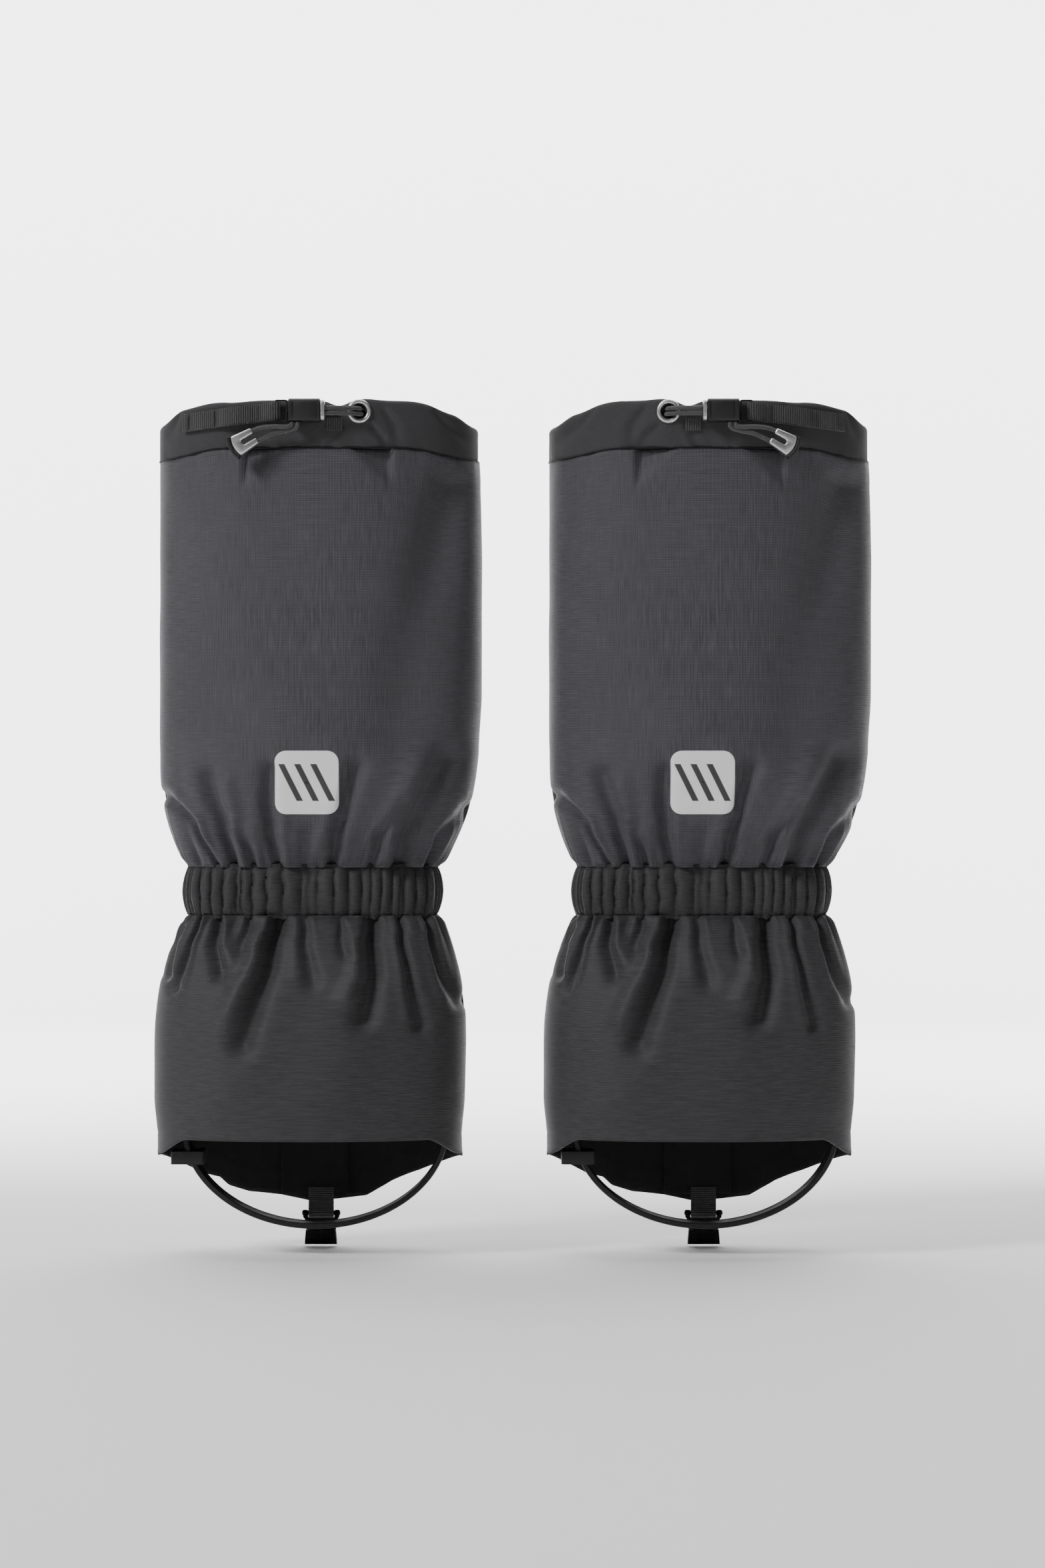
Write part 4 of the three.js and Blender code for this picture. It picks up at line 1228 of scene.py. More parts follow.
def collar_band(side):
    """Collar: one strip folded over at the rim, with the drawcord's channel between its walls."""
    low, top = COLLAR_SEAM, COLLAR_TOP
    path = [(0.0, low + (top - 3.2 - low) * k / 15) for k in range(16)]
    path += [(-0.25, top - 1.8), (-0.9, top - 0.7), (-1.9, top - 0.1), (-2.8, top), (-3.7, top - 0.1)]
    path += [(-4.7, top - 0.7), (-5.35, top - 1.8)]
    path += [(-5.6, top - 3.2 - (top - 3.2 - low) * k / 11) for k in range(12)]
    offsets, heights = np.array(path).T
    turn, z = sleeve_grid(360, heights)
    offset = np.broadcast_to(offsets, turn.shape)
    point, normal = wall(turn, z)
    x = point[..., 0]
    outer = np.clip(1 + offset / 1.5, 0, 1)
    relief = offset + collar_folds(x, z, turn, side.hand) * outer
    rise = rim_at(x, turn, side.hand) * smooth((z - (top - 12)) / 11)
    grid = point + normal * relief[..., None]
    grid[..., 2] += rise
    cell_x = (x[:-1, :-1] + x[1:, 1:]) / 2
    cell_z = (z[:-1, :-1] + z[1:, 1:]) / 2
    eyelet = np.hypot(side.hand * cell_x - EYELET[0], cell_z - EYELET[1]) < 4.3
    behind = np.cos(turn[:-1, :-1]) < 0
    keep = ~(eyelet & behind & (offset[:-1, :-1] > -1))
    run = np.concatenate([[0], np.cumsum(np.hypot(np.diff(offsets), np.diff(heights)))])
    flat = np.stack([turn / (2 * math.pi) * ROUND, np.broadcast_to(run, turn.shape)], -1)
    made = cloth_piece(
        "collar_band", side, "gaiter", grid, flat, sizes().lining / MM, "collar_fabric", ["collar_band"],
        keep=keep,
    )
    return made


def seam_welt(side):
    """Dark raised line where the collar is sewn to the calf panel."""
    turns = stations(200, 200.0)
    z = np.full(200, COLLAR_SEAM - 0.05)
    point, normal = wall(turns, z)
    line = point + normal * (0.05 + 0.12 * uneven(turns * 68, 3, 71))[..., None]
    points, faces, cloth = tube(line, 0.42, 6)
    return piece("seam_welt", side, "gaiter", points, faces, "inner_fabric", cloth=cloth)


# ---- Front closure -------------------------------------------------------------------------------


def front_grid(xs, heights, offset_at):
    """Grid on the front of the sleeve, whose rows run from -x to +x."""
    x, z = np.meshgrid(np.asarray(xs, float), np.asarray(heights, float), indexing="ij")
    point, normal = wall(turn_at(x, z, False), z)
    return point + normal * offset_at(x, z)[..., None], np.stack([x, z], -1)


def closure_underlap(side):
    """Inner panel behind the slit."""
    grid, flat = front_grid(
        np.linspace(-23, 14, 26), np.linspace(-36.2, 365.5, 180),
        lambda x, z: -1.9 + 0.3 * uneven(z + x, 19, 81) - 0.25 * smooth((np.abs(x + 4) - 15) / 3),
    )
    made = cloth_piece(
        "closure_underlap", side, "gaiter", grid, flat, 0.9, "inner_fabric", ["closure_underlap"]
    )
    return made


def closure_tape(side, name, body, offset, finish):
    """One of the two hook-and-loop tapes."""
    grid, flat = front_grid(
        np.linspace(-22, -3, 16), np.linspace(-29.5, 361.5, 160),
        lambda x, z: offset + 0.8 + 0.05 * uneven(x * 3 + z, 3, 82),
    )
    made = cloth_piece(name, side, body, grid, flat, 0.8, "hook_and_loop", [name])
    made.data.materials[0] = finishes(finish)
    return made


def closure_tapes(side):
    """The loop tape on the sleeve and the hook tape on the flap."""
    closure_tape(side, "loop_tape", "gaiter", 0.3, "loop_pile")
    closure_tape(side, "hook_tape", "flap", 1.4, "hook_pile")


FLAP_STUD = (-14.0, 380.0)


def closure_flap(side):
    """Flap over the tapes, with a turned and stitched edge, bending at its sewn root."""
    def offset(x, z):
        rising = 0.3 + 2.2 * np.clip((20 - x) / 15, 0, 1)
        waves = (
            0.5 * uneven(z, 23, 83) * smooth((x + 26) / 20)
            + 0.35 * uneven(z + x, 11, 84) * smooth((10 - x) / 30)
        )
        edge = 0.35 * np.exp(-(((x + 22.2) / 0.8) ** 2)) - 0.25 * np.exp(-(((x + 19) / 0.5) ** 2))
        gather = 0.5 * uneven(z, 4.5, 85) * np.exp(-(((z - 131) / 15) ** 2))
        stud = -smooth(1 - np.hypot(x - FLAP_STUD[0], z - FLAP_STUD[1]) / 9)
        flat_here = 1 + stud
        return 1.2 + rising + (np.maximum(waves, -0.3) + gather) * flat_here + edge

    grid, flat = front_grid(np.linspace(-23, 24, 48), np.linspace(-32.6, 390.8, 230), offset)
    made = cloth_piece(
        "closure_flap", side, None, grid, flat, 1.2, "upper_fabric", ["closure_flap"], inside="inner_fabric"
    )
    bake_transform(made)
    return made


def stitches(side, name, body, lines, gap=2.6, size=0.28):
    """Rows of sewn stitches along lines of points."""
    parts = []
    for line in lines:
        run = smooth_line(line, gap)
        for start, end in zip(run[:-1], run[1:]):
            margin = (end - start) * 0.14
            parts.append(tube(smooth_line([start + margin, end - margin], gap / 3), size, 6))
    points, faces, cloth = joined(parts)
    return piece(name, side, body, points, faces, "thread", cloth=cloth)


def flap_stitching(side):
    """Stitching down the flap's free edge and across its ends."""
    def on_flap(x, z):
        return front_point(np.asarray(x, float), np.asarray(z, float), np.asarray(3.95 + 0 * np.asarray(x)))

    z = np.linspace(-30.5, 388.5, 60)
    return stitches(side, "flap_stitching", "flap", [on_flap(np.full(60, -20.6), z)], 3.2, 0.2)


def press_stud(side):
    """Press stud at the collar: a ringed cap on the flap and a post on the sleeve."""
    ahead = (0.0, 1.0, 0.0)
    for name, body, offset, profile in (
        (
            "press_stud_cap", "flap", 4.0,
            [
                (0, 0), (5.6, 0), (6, 0.25), (6.05, 0.7), (5.7, 1.1), (5.0, 1.3),
                (4.4, 1.12), (3.8, 1.1), (3.2, 1.5), (1.6, 1.78), (0, 1.85),
            ],
        ),
        (
            "press_stud_post", "gaiter", 0.35,
            [(0, 0), (5, 0), (5, 0.5), (2.4, 0.75), (2.1, 1.2), (1.6, 1.5), (0, 1.6)],
        ),
    ):
        base = front_point(np.array(FLAP_STUD[0]), np.array(FLAP_STUD[1]), np.array(offset))
        points, faces = turned(profile, base, ahead)
        made = piece(name, side, body, points, faces, "dark_metal", [name])
        outward(made.data)


# ---- Collar hardware, drawn for the gaiter at -x --------------------------------------------------

EYELET = (23.0, 386.4)
LOCK_LEFT, LOCK_RIGHT = -14.0, 2.5
LOCK_TOP, LOCK_FOOT = 392.6, 380.2
LOCK_MIDDLE = 386.4
LOCK_BACK, LOCK_FRONT = -45.6, -54.6
PLUNGER_Y, CORD_Y = -48.0, -52.0
FOLD_X = -19.1
WEBBING_START, WEBBING_RISE, WEBBING_HALF = -70, 5, 4.75


def collar_point(x, z, offset):
    """A point off the collar's undisturbed outer wall."""
    from_rear = math.pi - math.asin(min(abs(x) / CALF[0], 1) ** (SQUARENESS / 2))
    turn = -from_rear if x < 0 else from_rear
    power = 2 / SQUARENESS
    px = CALF[0] * math.copysign(abs(math.sin(turn)) ** power, x)
    py = -CALF[1] * abs(math.cos(turn)) ** power
    nx = math.copysign(abs(px / CALF[0]) ** (SQUARENESS - 1), px) / CALF[0]
    ny = -(abs(py / CALF[1]) ** (SQUARENESS - 1)) / CALF[1]
    size = math.hypot(nx, ny)
    return (px + nx / size * offset, py + ny / size * offset, z)


def collar_eyelet(side):
    """Rolled eyelet, crimped through the collar."""
    base = collar_point(*EYELET, 0)
    ahead = np.subtract(collar_point(*EYELET, 1), base)
    lip = arc(5.2, 0.75, 1.25, math.pi, 0, 10)
    profile = [
        (3.5, -1.6), (3.5, 0.2), *[(r - 0.05, z) for r, z in lip],
        (6.45, 0.2), (6.3, 0.05), (4.0, 0.0), (4.0, -1.3), (3.9, -1.6),
    ]
    points, faces = turned(profile, base, ahead, 56)
    made = piece("collar_eyelet", side, "gaiter", points, faces, "bright_metal", ["collar_eyelet"], True)
    outward(made.data)
    return made


def drawcord_path(way):
    """Centre line of one run of the drawcord, from its front edge to the lock."""
    z = EYELET[1] + way * 1.4
    start = turn_at(3.5, z, False)
    end = turn_at(EYELET[0] + (12 if way > 0 else -14), z, True)
    if way > 0:
        turns = np.linspace(start, end, 22)
    else:
        turns = np.linspace(-start, end - 2 * math.pi, 30)
    channel = []
    for turn in turns:
        power = 2 / SQUARENESS
        depth = FRONT_DEPTH if math.cos(turn) > 0 else CALF[1]
        x = CALF[0] * math.copysign(abs(math.sin(turn)) ** power, math.sin(turn))
        y = depth * math.copysign(abs(math.cos(turn)) ** power, math.cos(turn))
        nx = math.copysign(abs(x / CALF[0]) ** 1.3, x) / CALF[0]
        ny = math.copysign(abs(y / depth) ** 1.3, y) / depth
        size = math.hypot(nx, ny)
        drop = 4.8 * float(smooth((abs(x) - 48) / 34)) + 0.9 * float(end_drop(x))
        channel.append((x - nx / size * 3.1, y - ny / size * 3.1, z - drop))

    def near(dx, offset):
        return collar_point(EYELET[0] + dx, z, offset)

    hole = [near(5.4, -3.5), near(0.3, -2.2)] if way > 0 else [near(-5, -3.1), near(1, -1.6)]
    return [
        *channel, *hole, near(0.4, 1.6), near(-4.5, 5), (LOCK_RIGHT + 4, CORD_Y, z),
        (LOCK_RIGHT, CORD_Y, z), (LOCK_LEFT + 10.2, CORD_Y, z),
    ]


def drawcord_runs(side):
    """The two runs of the drawcord, each round its half of the collar and out through the eyelet."""
    for name, way in (("drawcord_outer_run", 1), ("drawcord_inner_run", -1)):
        points, faces, cloth = tube(smooth_line(drawcord_path(way), 1.6), sizes().cord / MM / 2, 12)
        piece(name, side, "gaiter", points, faces, "drawcord", [name], True, cloth=cloth)


CLIP_LEAN = math.radians(29.7)
CLIP_MOUTH = (-31.5, CORD_Y, 373.1)


def in_clip(along, across, depth=0.0):
    """A point of the cord end, measured from its mouth along it, across it and behind it."""
    x, y, z = CLIP_MOUTH
    c, s = math.cos(CLIP_LEAN), math.sin(CLIP_LEAN)
    return (x - c * along - s * across, y + depth, z - s * along + c * across)


def tail_path():
    """The drawcord's free end: out of the lock, round inside the cord end, and back."""
    out = [
        (-12, -52, 379.8), (-14, -52.4, 377.7), (-22, -52.4, 377.7), (-28, -52.2, 377.2), (-32.2, -52, 375.9)
    ]
    back = [
        (-30, -52, 370.3), (-21.7, -51.6, 374.1), (-15, -51.2, 375.5), (-10, -51.6, 377.3), (-9.2, -52, 379.8)
    ]
    inside = [in_clip(4.0, 2.9), in_clip(8.2, 2.3), in_clip(9.9, 0), in_clip(8.2, -2.3), in_clip(4.0, -2.9)]
    return smooth_line([*out, *inside, *back], 0.9)


def tail_cord(side):
    """The free end of the drawcord, bending from the lock to the cord end."""
    path = tail_path()
    radius = sizes().cord / MM / 2
    points, faces, cloth = tube(path, radius, 14)
    made = piece(
        "tail_cord", side, None, points, faces, "drawcord", ["tail_strand_upper", "tail_strand_lower"], True,
        cloth=cloth,
    )
    world = path * MM
    world[:, 0] = world[:, 0] * side.hand + side.axis
    mouth = in_world(side, in_clip(0.5, 0))
    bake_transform(made)
    return made


def in_world(side, point):
    """A point of the left gaiter's own millimetres, in the frame's metres on either side."""
    return (point[0] * MM * side.hand + side.axis, point[1] * MM, point[2] * MM)


def clip_prism(outline, thickness):
    """An outline along and across the cord end, as thick as given, put in its place."""
    points, faces = prism(outline, "Z", -thickness / 2, thickness / 2)
    return np.array([in_clip(*point) for point in points]), faces


def cord_end(side):
    """Silver clip with its slot, and the black base that closes it."""
    middle, radius, half = 1.3, 12.0, 0.5
    tip = arc(middle, 0, radius, -half, half, 12)
    slot_end = arc(7, 0, 1.3, math.pi / 2, -math.pi / 2, 10)
    clip = [(0.3, -4.5), *tip, (0.3, 4.5), (0.3, 1.3), *slot_end, (0.3, -1.3)]
    hard_piece(
        "cord_end_clip", side, "cord_end", clip_prism(clip, 5.5), "bright_metal", ["cord_end_clip"], edge=0.9,
        mirrored=True,
    )
    base = [*arc(middle, 0, radius + 0.3, -half, half, 12), *arc(middle, 0, radius + 2.2, half, -half, 12)]
    hard_piece(
        "cord_end_base", side, "cord_end", clip_prism(base, 6.4), "lock_plastic", ["cord_end_base"], edge=0.5,
        mirrored=True,
    )


def cord_lock(side):
    """Barrel, plunger frame, spring and bright mouth of the cord lock."""
    tunnel = (CORD_Y - 1.6, CORD_Y + 1.6, LOCK_MIDDLE - 3.2, LOCK_MIDDLE + 3.2)
    body = prism(rounded(LOCK_FRONT, LOCK_BACK, LOCK_FOOT, LOCK_TOP, 2.6), "X", LOCK_LEFT, LOCK_RIGHT)
    bore = arc(PLUNGER_Y, LOCK_MIDDLE, 1.6, 0, 2 * math.pi * 15 / 16, 15)
    shank = arc(PLUNGER_Y, LOCK_MIDDLE, 1.0, 0, 2 * math.pi * 15 / 16, 15)
    inside = LOCK_LEFT + 1
    skin = rounded(LOCK_FRONT - 1, LOCK_FRONT + 0.28, LOCK_FOOT - 1, LOCK_TOP + 1, 0.1, 1)
    groove = [prism(skin, "X", x, x + 0.35) for x in (LOCK_LEFT + 2.2, LOCK_RIGHT - 1.7)]
    cutters = [
        prism(rounded(*tunnel, 0.8), "X", inside, LOCK_RIGHT + 1),
        prism(bore, "X", inside, LOCK_RIGHT + 1),
        prism(rounded(CORD_Y, PLUNGER_Y, *tunnel[2:], 0.4), "X", inside + 3.5, LOCK_RIGHT + 1),
        prism(shank, "X", LOCK_LEFT - 1, inside + 1),
        prism(rounded(LOCK_LEFT + 0.4, LOCK_LEFT + 7, *tunnel[:2], 0.8), "Z", LOCK_FOOT - 1, LOCK_MIDDLE),
        *groove,
    ]
    hard_piece(
        "cord_lock_barrel", side, "gaiter", body, "lock_plastic", ["cord_lock_barrel"], cutters, 0.45, True
    )
    left, right = LOCK_RIGHT + 0.3, LOCK_RIGHT + 2.5
    face = rounded(LOCK_FRONT + 0.3, LOCK_BACK - 0.4, LOCK_MIDDLE - 5.5, LOCK_MIDDLE + 5.5, 2.4)
    rim = prism(face, "X", left, right)
    opening = [prism(rounded(*tunnel, 1.2), "X", left - 1, right + 1)]
    hard_piece(
        "cord_lock_mouth", side, "gaiter", rim, "bright_metal", ["cord_lock_mouth"], opening, 0.7, True
    )
    frame_outline = rounded(-21.6, -14.8, LOCK_MIDDLE - 6, LOCK_MIDDLE + 6, 1.2)
    bar = prism(frame_outline, "Y", PLUNGER_Y - 0.8, PLUNGER_Y + 0.8)
    window_outline = rounded(-20.1, -15.6, LOCK_MIDDLE - 5.1, LOCK_MIDDLE + 5.1, 0.6)
    window = prism(window_outline, "Y", PLUNGER_Y - 2, PLUNGER_Y + 2)
    hard_piece(
        "cord_lock_plunger", side, "plunger", bar, "lock_plastic", ["cord_lock_plunger"], [window], 0.35, True
    )
    rod = smooth_line([(x, PLUNGER_Y, LOCK_MIDDLE) for x in (-15.2, -9.0, -4.8)], 0.6)
    points, faces, cloth = tube(rod, 0.7, 16)
    piece("cord_lock_rod", side, "plunger", points, faces, "lock_plastic", mirrored=True, cloth=cloth)
    coil = []
    for k in range(97):
        angle = k * math.pi / 12
        coil.append((
            -12.5 + 6.5 * k / 96, PLUNGER_Y + 1.13 * math.cos(angle), LOCK_MIDDLE + 1.13 * math.sin(angle)
        ))
    points, faces, cloth = tube(coil, 0.18, 8)
    piece(
        "cord_lock_spring", side, "gaiter", points, faces, "bright_metal", ["cord_lock_spring"], True,
        cloth=cloth,
    )


def webbing_line():
    """Middle line of the lock's webbing as (x, y), and how each point rises."""
    bar = 1.6
    under, over = 0.9, 2.2
    line = [collar_point(x, 0, under)[:2] for x in (WEBBING_START, -62, -54, -46, -38, -31)]
    line += [
        (FOLD_X - 4.4, PLUNGER_Y + bar), (FOLD_X - 1, PLUNGER_Y + bar), (FOLD_X, PLUNGER_Y + bar - 1),
        (FOLD_X, PLUNGER_Y - bar + 1), (FOLD_X - 1, PLUNGER_Y - bar), (FOLD_X - 4.4, PLUNGER_Y - bar),
    ]
    loop = [
        (-31, over + 0.8), (-35, 3.6), (-41, 4.4), (-47, 3.8), (-52, over), (-60, over), (WEBBING_START, over)
    ]
    return line + [collar_point(x, 0, offset)[:2] for x, offset in loop]


def rise_at(x):
    """How much higher the webbing lies at x than at its fold."""
    return WEBBING_RISE * (x - FOLD_X) / (FOLD_X - WEBBING_START)


def lock_webbing(side):
    """Webbing that holds the lock: sewn to the collar, folded round the plunger and back."""
    line = smooth_line([(x, y, 0) for x, y in webbing_line()], 0.7)
    share = np.linspace(-1, 1, 13)
    x, edge = np.meshgrid(line[:, 0], share, indexing="ij")
    y = np.broadcast_to(line[:, 1:2], x.shape)
    run = np.concatenate([[0], np.cumsum(np.linalg.norm(np.diff(line, axis=0), axis=1))])
    crown = 0.18 * (1 - edge**2)
    wrinkle = 0.22 * uneven(run[:, None] + 3 * edge, 3.1, 91) * smooth((x + 34) / 6)
    lift = (crown + wrinkle) * np.where(y < PLUNGER_Y, 1, -1)
    grid = np.stack([x, y - lift, LOCK_MIDDLE + rise_at(x) + WEBBING_HALF * edge], -1)
    flat = np.stack([edge * WEBBING_HALF, np.broadcast_to(run[:, None], x.shape)], -1)
    return cloth_piece(
        "lock_webbing", side, "gaiter", grid, flat, 1.0, "webbing", ["lock_webbing"],
        centred=True, mirrored=True,
    )


def webbing_tacks(side):
    """Dense zigzag tacks that hold the webbing to the collar."""
    parts = []
    for x, wide in ((-67.5, 1.6), (-53.5, 1.2), (-30.0, 1.4), (-26.5, 1.2)):
        offset = 3.0 if x < -40 else 3.75
        zigzag = []
        for k in range(15):
            z = LOCK_MIDDLE + rise_at(x) - 4.1 + 8.2 * k / 14
            zigzag.append(collar_point(x + (wide if k % 2 else -wide) / 2, z, offset))
        parts.append(tube(smooth_line(zigzag, 0.35), 0.24, 6))
    points, faces, cloth = joined(parts)
    return piece("webbing_tacks", side, "gaiter", points, faces, "thread", mirrored=True, cloth=cloth)


def lock_keeper_tab(side):
    """Small ribbed tab under the lock's mouth."""
    x, z = np.meshgrid(np.linspace(6, 14, 18), np.linspace(376.2, 383, 16), indexing="ij")
    points = [collar_point(a, b, 1.6 + 0.12 * math.sin(a * 5.2)) for a, b in zip(x.flat, z.flat)]
    grid = np.array(points).reshape(*x.shape, 3)
    flat = np.stack([z, x], -1)
    # The rows run from -x to +x behind the leg, so they are turned round to face outward.
    return cloth_piece(
        "lock_keeper_tab", side, "gaiter", grid[::-1], flat[::-1], 1.1, "webbing", ["lock_keeper_tab"],
        mirrored=True,
    )


# ---- Lace hook and instep strap ------------------------------------------------------------------

HOOK_X, HOOK_Y, BAR_Z = -1.0, 40.6, -46.5


def hook_tab(side):
    """Doubled webbing loop from the front hem round the hook's bar."""
    radius, layer = 2.35, 0.7
    top = BAR_Z + 5.1
    line = [(HOOK_Y - layer, top + 9), (HOOK_Y - layer, top)]
    line += arc(HOOK_Y, BAR_Z, radius, -1.25 * math.pi, math.pi / 4, 14)
    line += [(HOOK_Y + layer, top), (HOOK_Y + layer, top + 9)]
    middle = smooth_line([(0, y, z) for y, z in line], 0.6)
    run = np.concatenate([[0], np.cumsum(np.linalg.norm(np.diff(middle, axis=0), axis=1))])
    x, _ = np.meshgrid(np.linspace(HOOK_X - 6.9, HOOK_X + 6.9, 16), run, indexing="ij")
    y, z = (np.broadcast_to(middle[:, i], x.shape) for i in (1, 2))
    grid = np.stack([x, y, z], -1)
    flat = np.stack([x, np.broadcast_to(run, x.shape)], -1)
    made = cloth_piece("hook_tab", side, None, grid, flat, 1.2, "webbing", ["hook_tab"], centred=True)
    outward(made.data)
    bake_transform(made)
    return made


def lace_hook(side):
    """Bent black hook: a flared plate, curled under at its foot, hung from a bar with two knobs."""
    curl, thick = 3.2, 1.4
    curl_z = BAR_Z - 13.1
    line = [(HOOK_Y, BAR_Z - 0.5), (HOOK_Y, BAR_Z - 7), *arc(HOOK_Y - curl, curl_z, curl, 0, -math.pi, 16)]
    line.append((HOOK_Y - 2 * curl, curl_z + 4.4))
    middle = smooth_line([(0, y, z) for y, z in line], 0.5)
    tangent = np.gradient(middle, axis=0)
    tangent /= np.linalg.norm(tangent, axis=1, keepdims=True)
    side_way = np.stack([np.zeros(len(middle)), -tangent[:, 2], tangent[:, 1]], 1) * thick / 2
    outline = [tuple(p[1:]) for p in middle + side_way] + [tuple(p[1:]) for p in (middle - side_way)[::-1]]
    bent = prism(outline, "X", HOOK_X - 9.95, HOOK_X + 9.95)
    low = curl_z - curl - thick
    waists = []
    for way in (-1, 1):
        cut = [(9.95, BAR_Z - 2.3), (7.85, BAR_Z - 5), (8.95, low), (12, low - 1), (12, BAR_Z - 2.3)]
        waists.append(prism([(HOOK_X + way * x, z) for x, z in cut], "Y", HOOK_Y - 12, HOOK_Y + 6))
    hole = rounded(HOOK_X - 7.2, HOOK_X + 7.2, BAR_Z - 2.8, BAR_Z + 3, 0.8)
    eye = prism(hole, "Y", HOOK_Y - 12, HOOK_Y + 6)
    hard_piece("lace_hook", side, "lace_hook", bent, "dark_metal", ["lace_hook"], [*waists, eye], 0.35)
    bar = smooth_line([(HOOK_X + x, HOOK_Y, BAR_Z) for x in (-9.3, 0, 9.3)], 0.8)
    knobs = [
        tube([(HOOK_X + way * x, HOOK_Y, BAR_Z) for x in (7.9, 8.9, 9.6)], 1.75, 20) for way in (-1, 1)
    ]
    points, faces, cloth = joined([tube(bar, 1.25, 20), *knobs])
    piece("lace_hook_bar", side, "lace_hook", points, faces, "dark_metal", cloth=cloth)


def strap_line():
    """Middle line of the instep strap in (x, z)."""
    line = [(-74.0, 10.0), (-71.6, 6.5)]
    turns = np.linspace(math.pi * 1.015, math.pi * 1.985, 60)
    line += [(70.5 * math.cos(turn), 4.6 + 53.5 * math.sin(turn)) for turn in turns]
    return [*line, (71.6, 6.5), (74.0, 10.0)]


def instep_strap(side):
    """Coated strap under the instep, with a raised rib along each edge of both faces."""
    middle = smooth_line([(x - 1.8 * (1 - smooth(z / 9)), 0, z) for x, z in strap_line()], 1.4)
    tangent = np.gradient(middle, axis=0)
    tangent /= np.linalg.norm(tangent, axis=1, keepdims=True)
    inward = np.stack([-tangent[:, 2], np.zeros(len(middle)), tangent[:, 0]], 1)
    wide = sizes().strap / MM / 2
    profile = []
    for way in (1, -1):
        ys = np.linspace(-wide, wide, 21) * way
        for y in ys:
            edge = abs(y) / wide
            lift = 1.5 - 0.45 * smooth((edge - 0.96) / 0.05) - 0.35 * smooth((0.9 - edge) / 0.04)
            profile.append((y * (1 - 0.012 * smooth((edge - 0.96) / 0.05)), lift * way))
    profile = np.array(profile)
    count = len(profile)
    grid = middle[:, None, :] + inward[:, None, :] * profile[None, :, 1:2]
    grid[..., 1] += profile[None, :, 0]
    faces, row, column = grid_faces(len(middle), count, wrap=True)
    run = np.concatenate([[0], np.cumsum(np.linalg.norm(np.diff(middle, axis=0), axis=1))])
    cloth = np.stack([column * 1.0, run[row]], -1).tolist()
    last = (len(middle) - 1) * count
    ends = [list(range(count)), [last + i for i in range(count)][::-1]]
    caps = [[(0.0, 0.0)] * count] * 2
    made = piece(
        "instep_strap", side, None, grid.reshape(-1, 3), faces.tolist() + ends, "strap_rubber",
        ["instep_strap"], cloth=cloth + caps,
    )
    outward(made.data)
    made.data.set_sharp_from_angle(angle=math.radians(50))
    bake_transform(made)
    return made


def strap_hardware(side):
    """Ladder lock on the strap, and the stitched patches that hold the strap's ends."""
    low, high = -15.5, -8.5
    outer = -79.5
    frame_shape = prism(rounded(outer, -61.7, -12, 12, 1.6), "Z", low, high)
    slot = prism(rounded(-73.4, -63.1, -10.3, 10.3, 0.5), "Z", low - 1, high + 1)
    rear_slot = prism(rounded(outer + 1.9, outer + 5.5, -8, 8, 0.8), "Z", low - 1, high + 1)
    hard_piece(
        "strap_buckle", side, "strap", frame_shape, "lock_plastic", ["strap_buckle"], [slot, rear_slot], 0.5
    )
    for name, way in (("strap_anchor_tab", 1), ("buckle_anchor_tab", -1)):
        y, z = np.meshgrid(np.linspace(-11, 11, 24), np.linspace(-2, 30, 34), indexing="ij")
        base, lean = (74.9, 0.02) if way > 0 else (80.6, 0.0)
        x = way * (base + 0.25 * uneven(y * 2 + z, 5, 95) + lean * (z - 5))
        grid = np.stack([x, y, z], -1)
        made = cloth_piece(
            name, side, "gaiter", grid, np.stack([y, z], -1), 1.6, "webbing", [name], centred=True
        )
        outward(made.data)


# ---- Reflective patch ----------------------------------------------------------------------------


def calf_surface(side, x, z, offset):
    """Points on the folded calf panel behind the leg, a little proud of it."""
    x, z = np.asarray(x, float), np.asarray(z, float)
    sway = np.interp(z, [BAND_TOP, 205], [-3.4, 0])
    turn = turn_at(x - sway, z, True) % (2 * math.pi)
    point, normal = wall(turn, z)
    relief = calf_folds(point[..., 0], z, turn, side.hand)
    return point + normal * (relief + offset)[..., None]


def reflective_patch(side):
    """Rounded square of reflective film, bonded to the calf panel."""
    half = sizes().patch / MM / 2
    corners = [(x, 0, z) for x, z in rounded(-half, half, -half * 0.985, half * 0.985, 6.2, 10)]
    outline = even_line([*corners, corners[0]], 0.8)[:-1, [0, 2]]
    middle_x, middle_z = PATCH
    rings = np.concatenate([np.linspace(0.02, 0.985, 26), [1.0, 1.0]])
    offsets = np.concatenate([np.full(26, 0.34), [0.22, 0.0]])
    count = len(outline)
    x = middle_x + rings[:, None] * outline[None, :, 0]
    z = middle_z + rings[:, None] * outline[None, :, 1]
    grid = calf_surface(side, x, z, np.broadcast_to(offsets[:, None], x.shape))
    faces, row, column = grid_faces(len(rings), count, wrap=True)
    flat = np.stack([x - middle_x, z - middle_z], -1).reshape(-1, 2)
    cloth = flat[faces].tolist()
    cap = list(range(count))
    made = piece(
        "reflective_patch", side, "gaiter", grid.reshape(-1, 3), faces.tolist() + [cap], "patch",
        cloth=cloth + [[tuple(flat[i]) for i in cap]],
    )
    if made.data.polygons[0].normal.y > 0:
        made.data.flip_normals()
    return made


# ---- Stage ---------------------------------------------------------------------------------------


def camera():
    """The camera that stands in front of the calf side."""
    lens = bpy.data.cameras.new("camera")
    lens.lens, lens.sensor_width = 100, 36
    eye = bpy.data.objects.new("camera", lens)
    eye.location = (0.0046, -2.352, 0.189)
    eye.rotation_euler = (math.pi / 2, 0, 0)
    bpy.context.scene.collection.objects.link(eye)
    bpy.context.scene.camera = eye


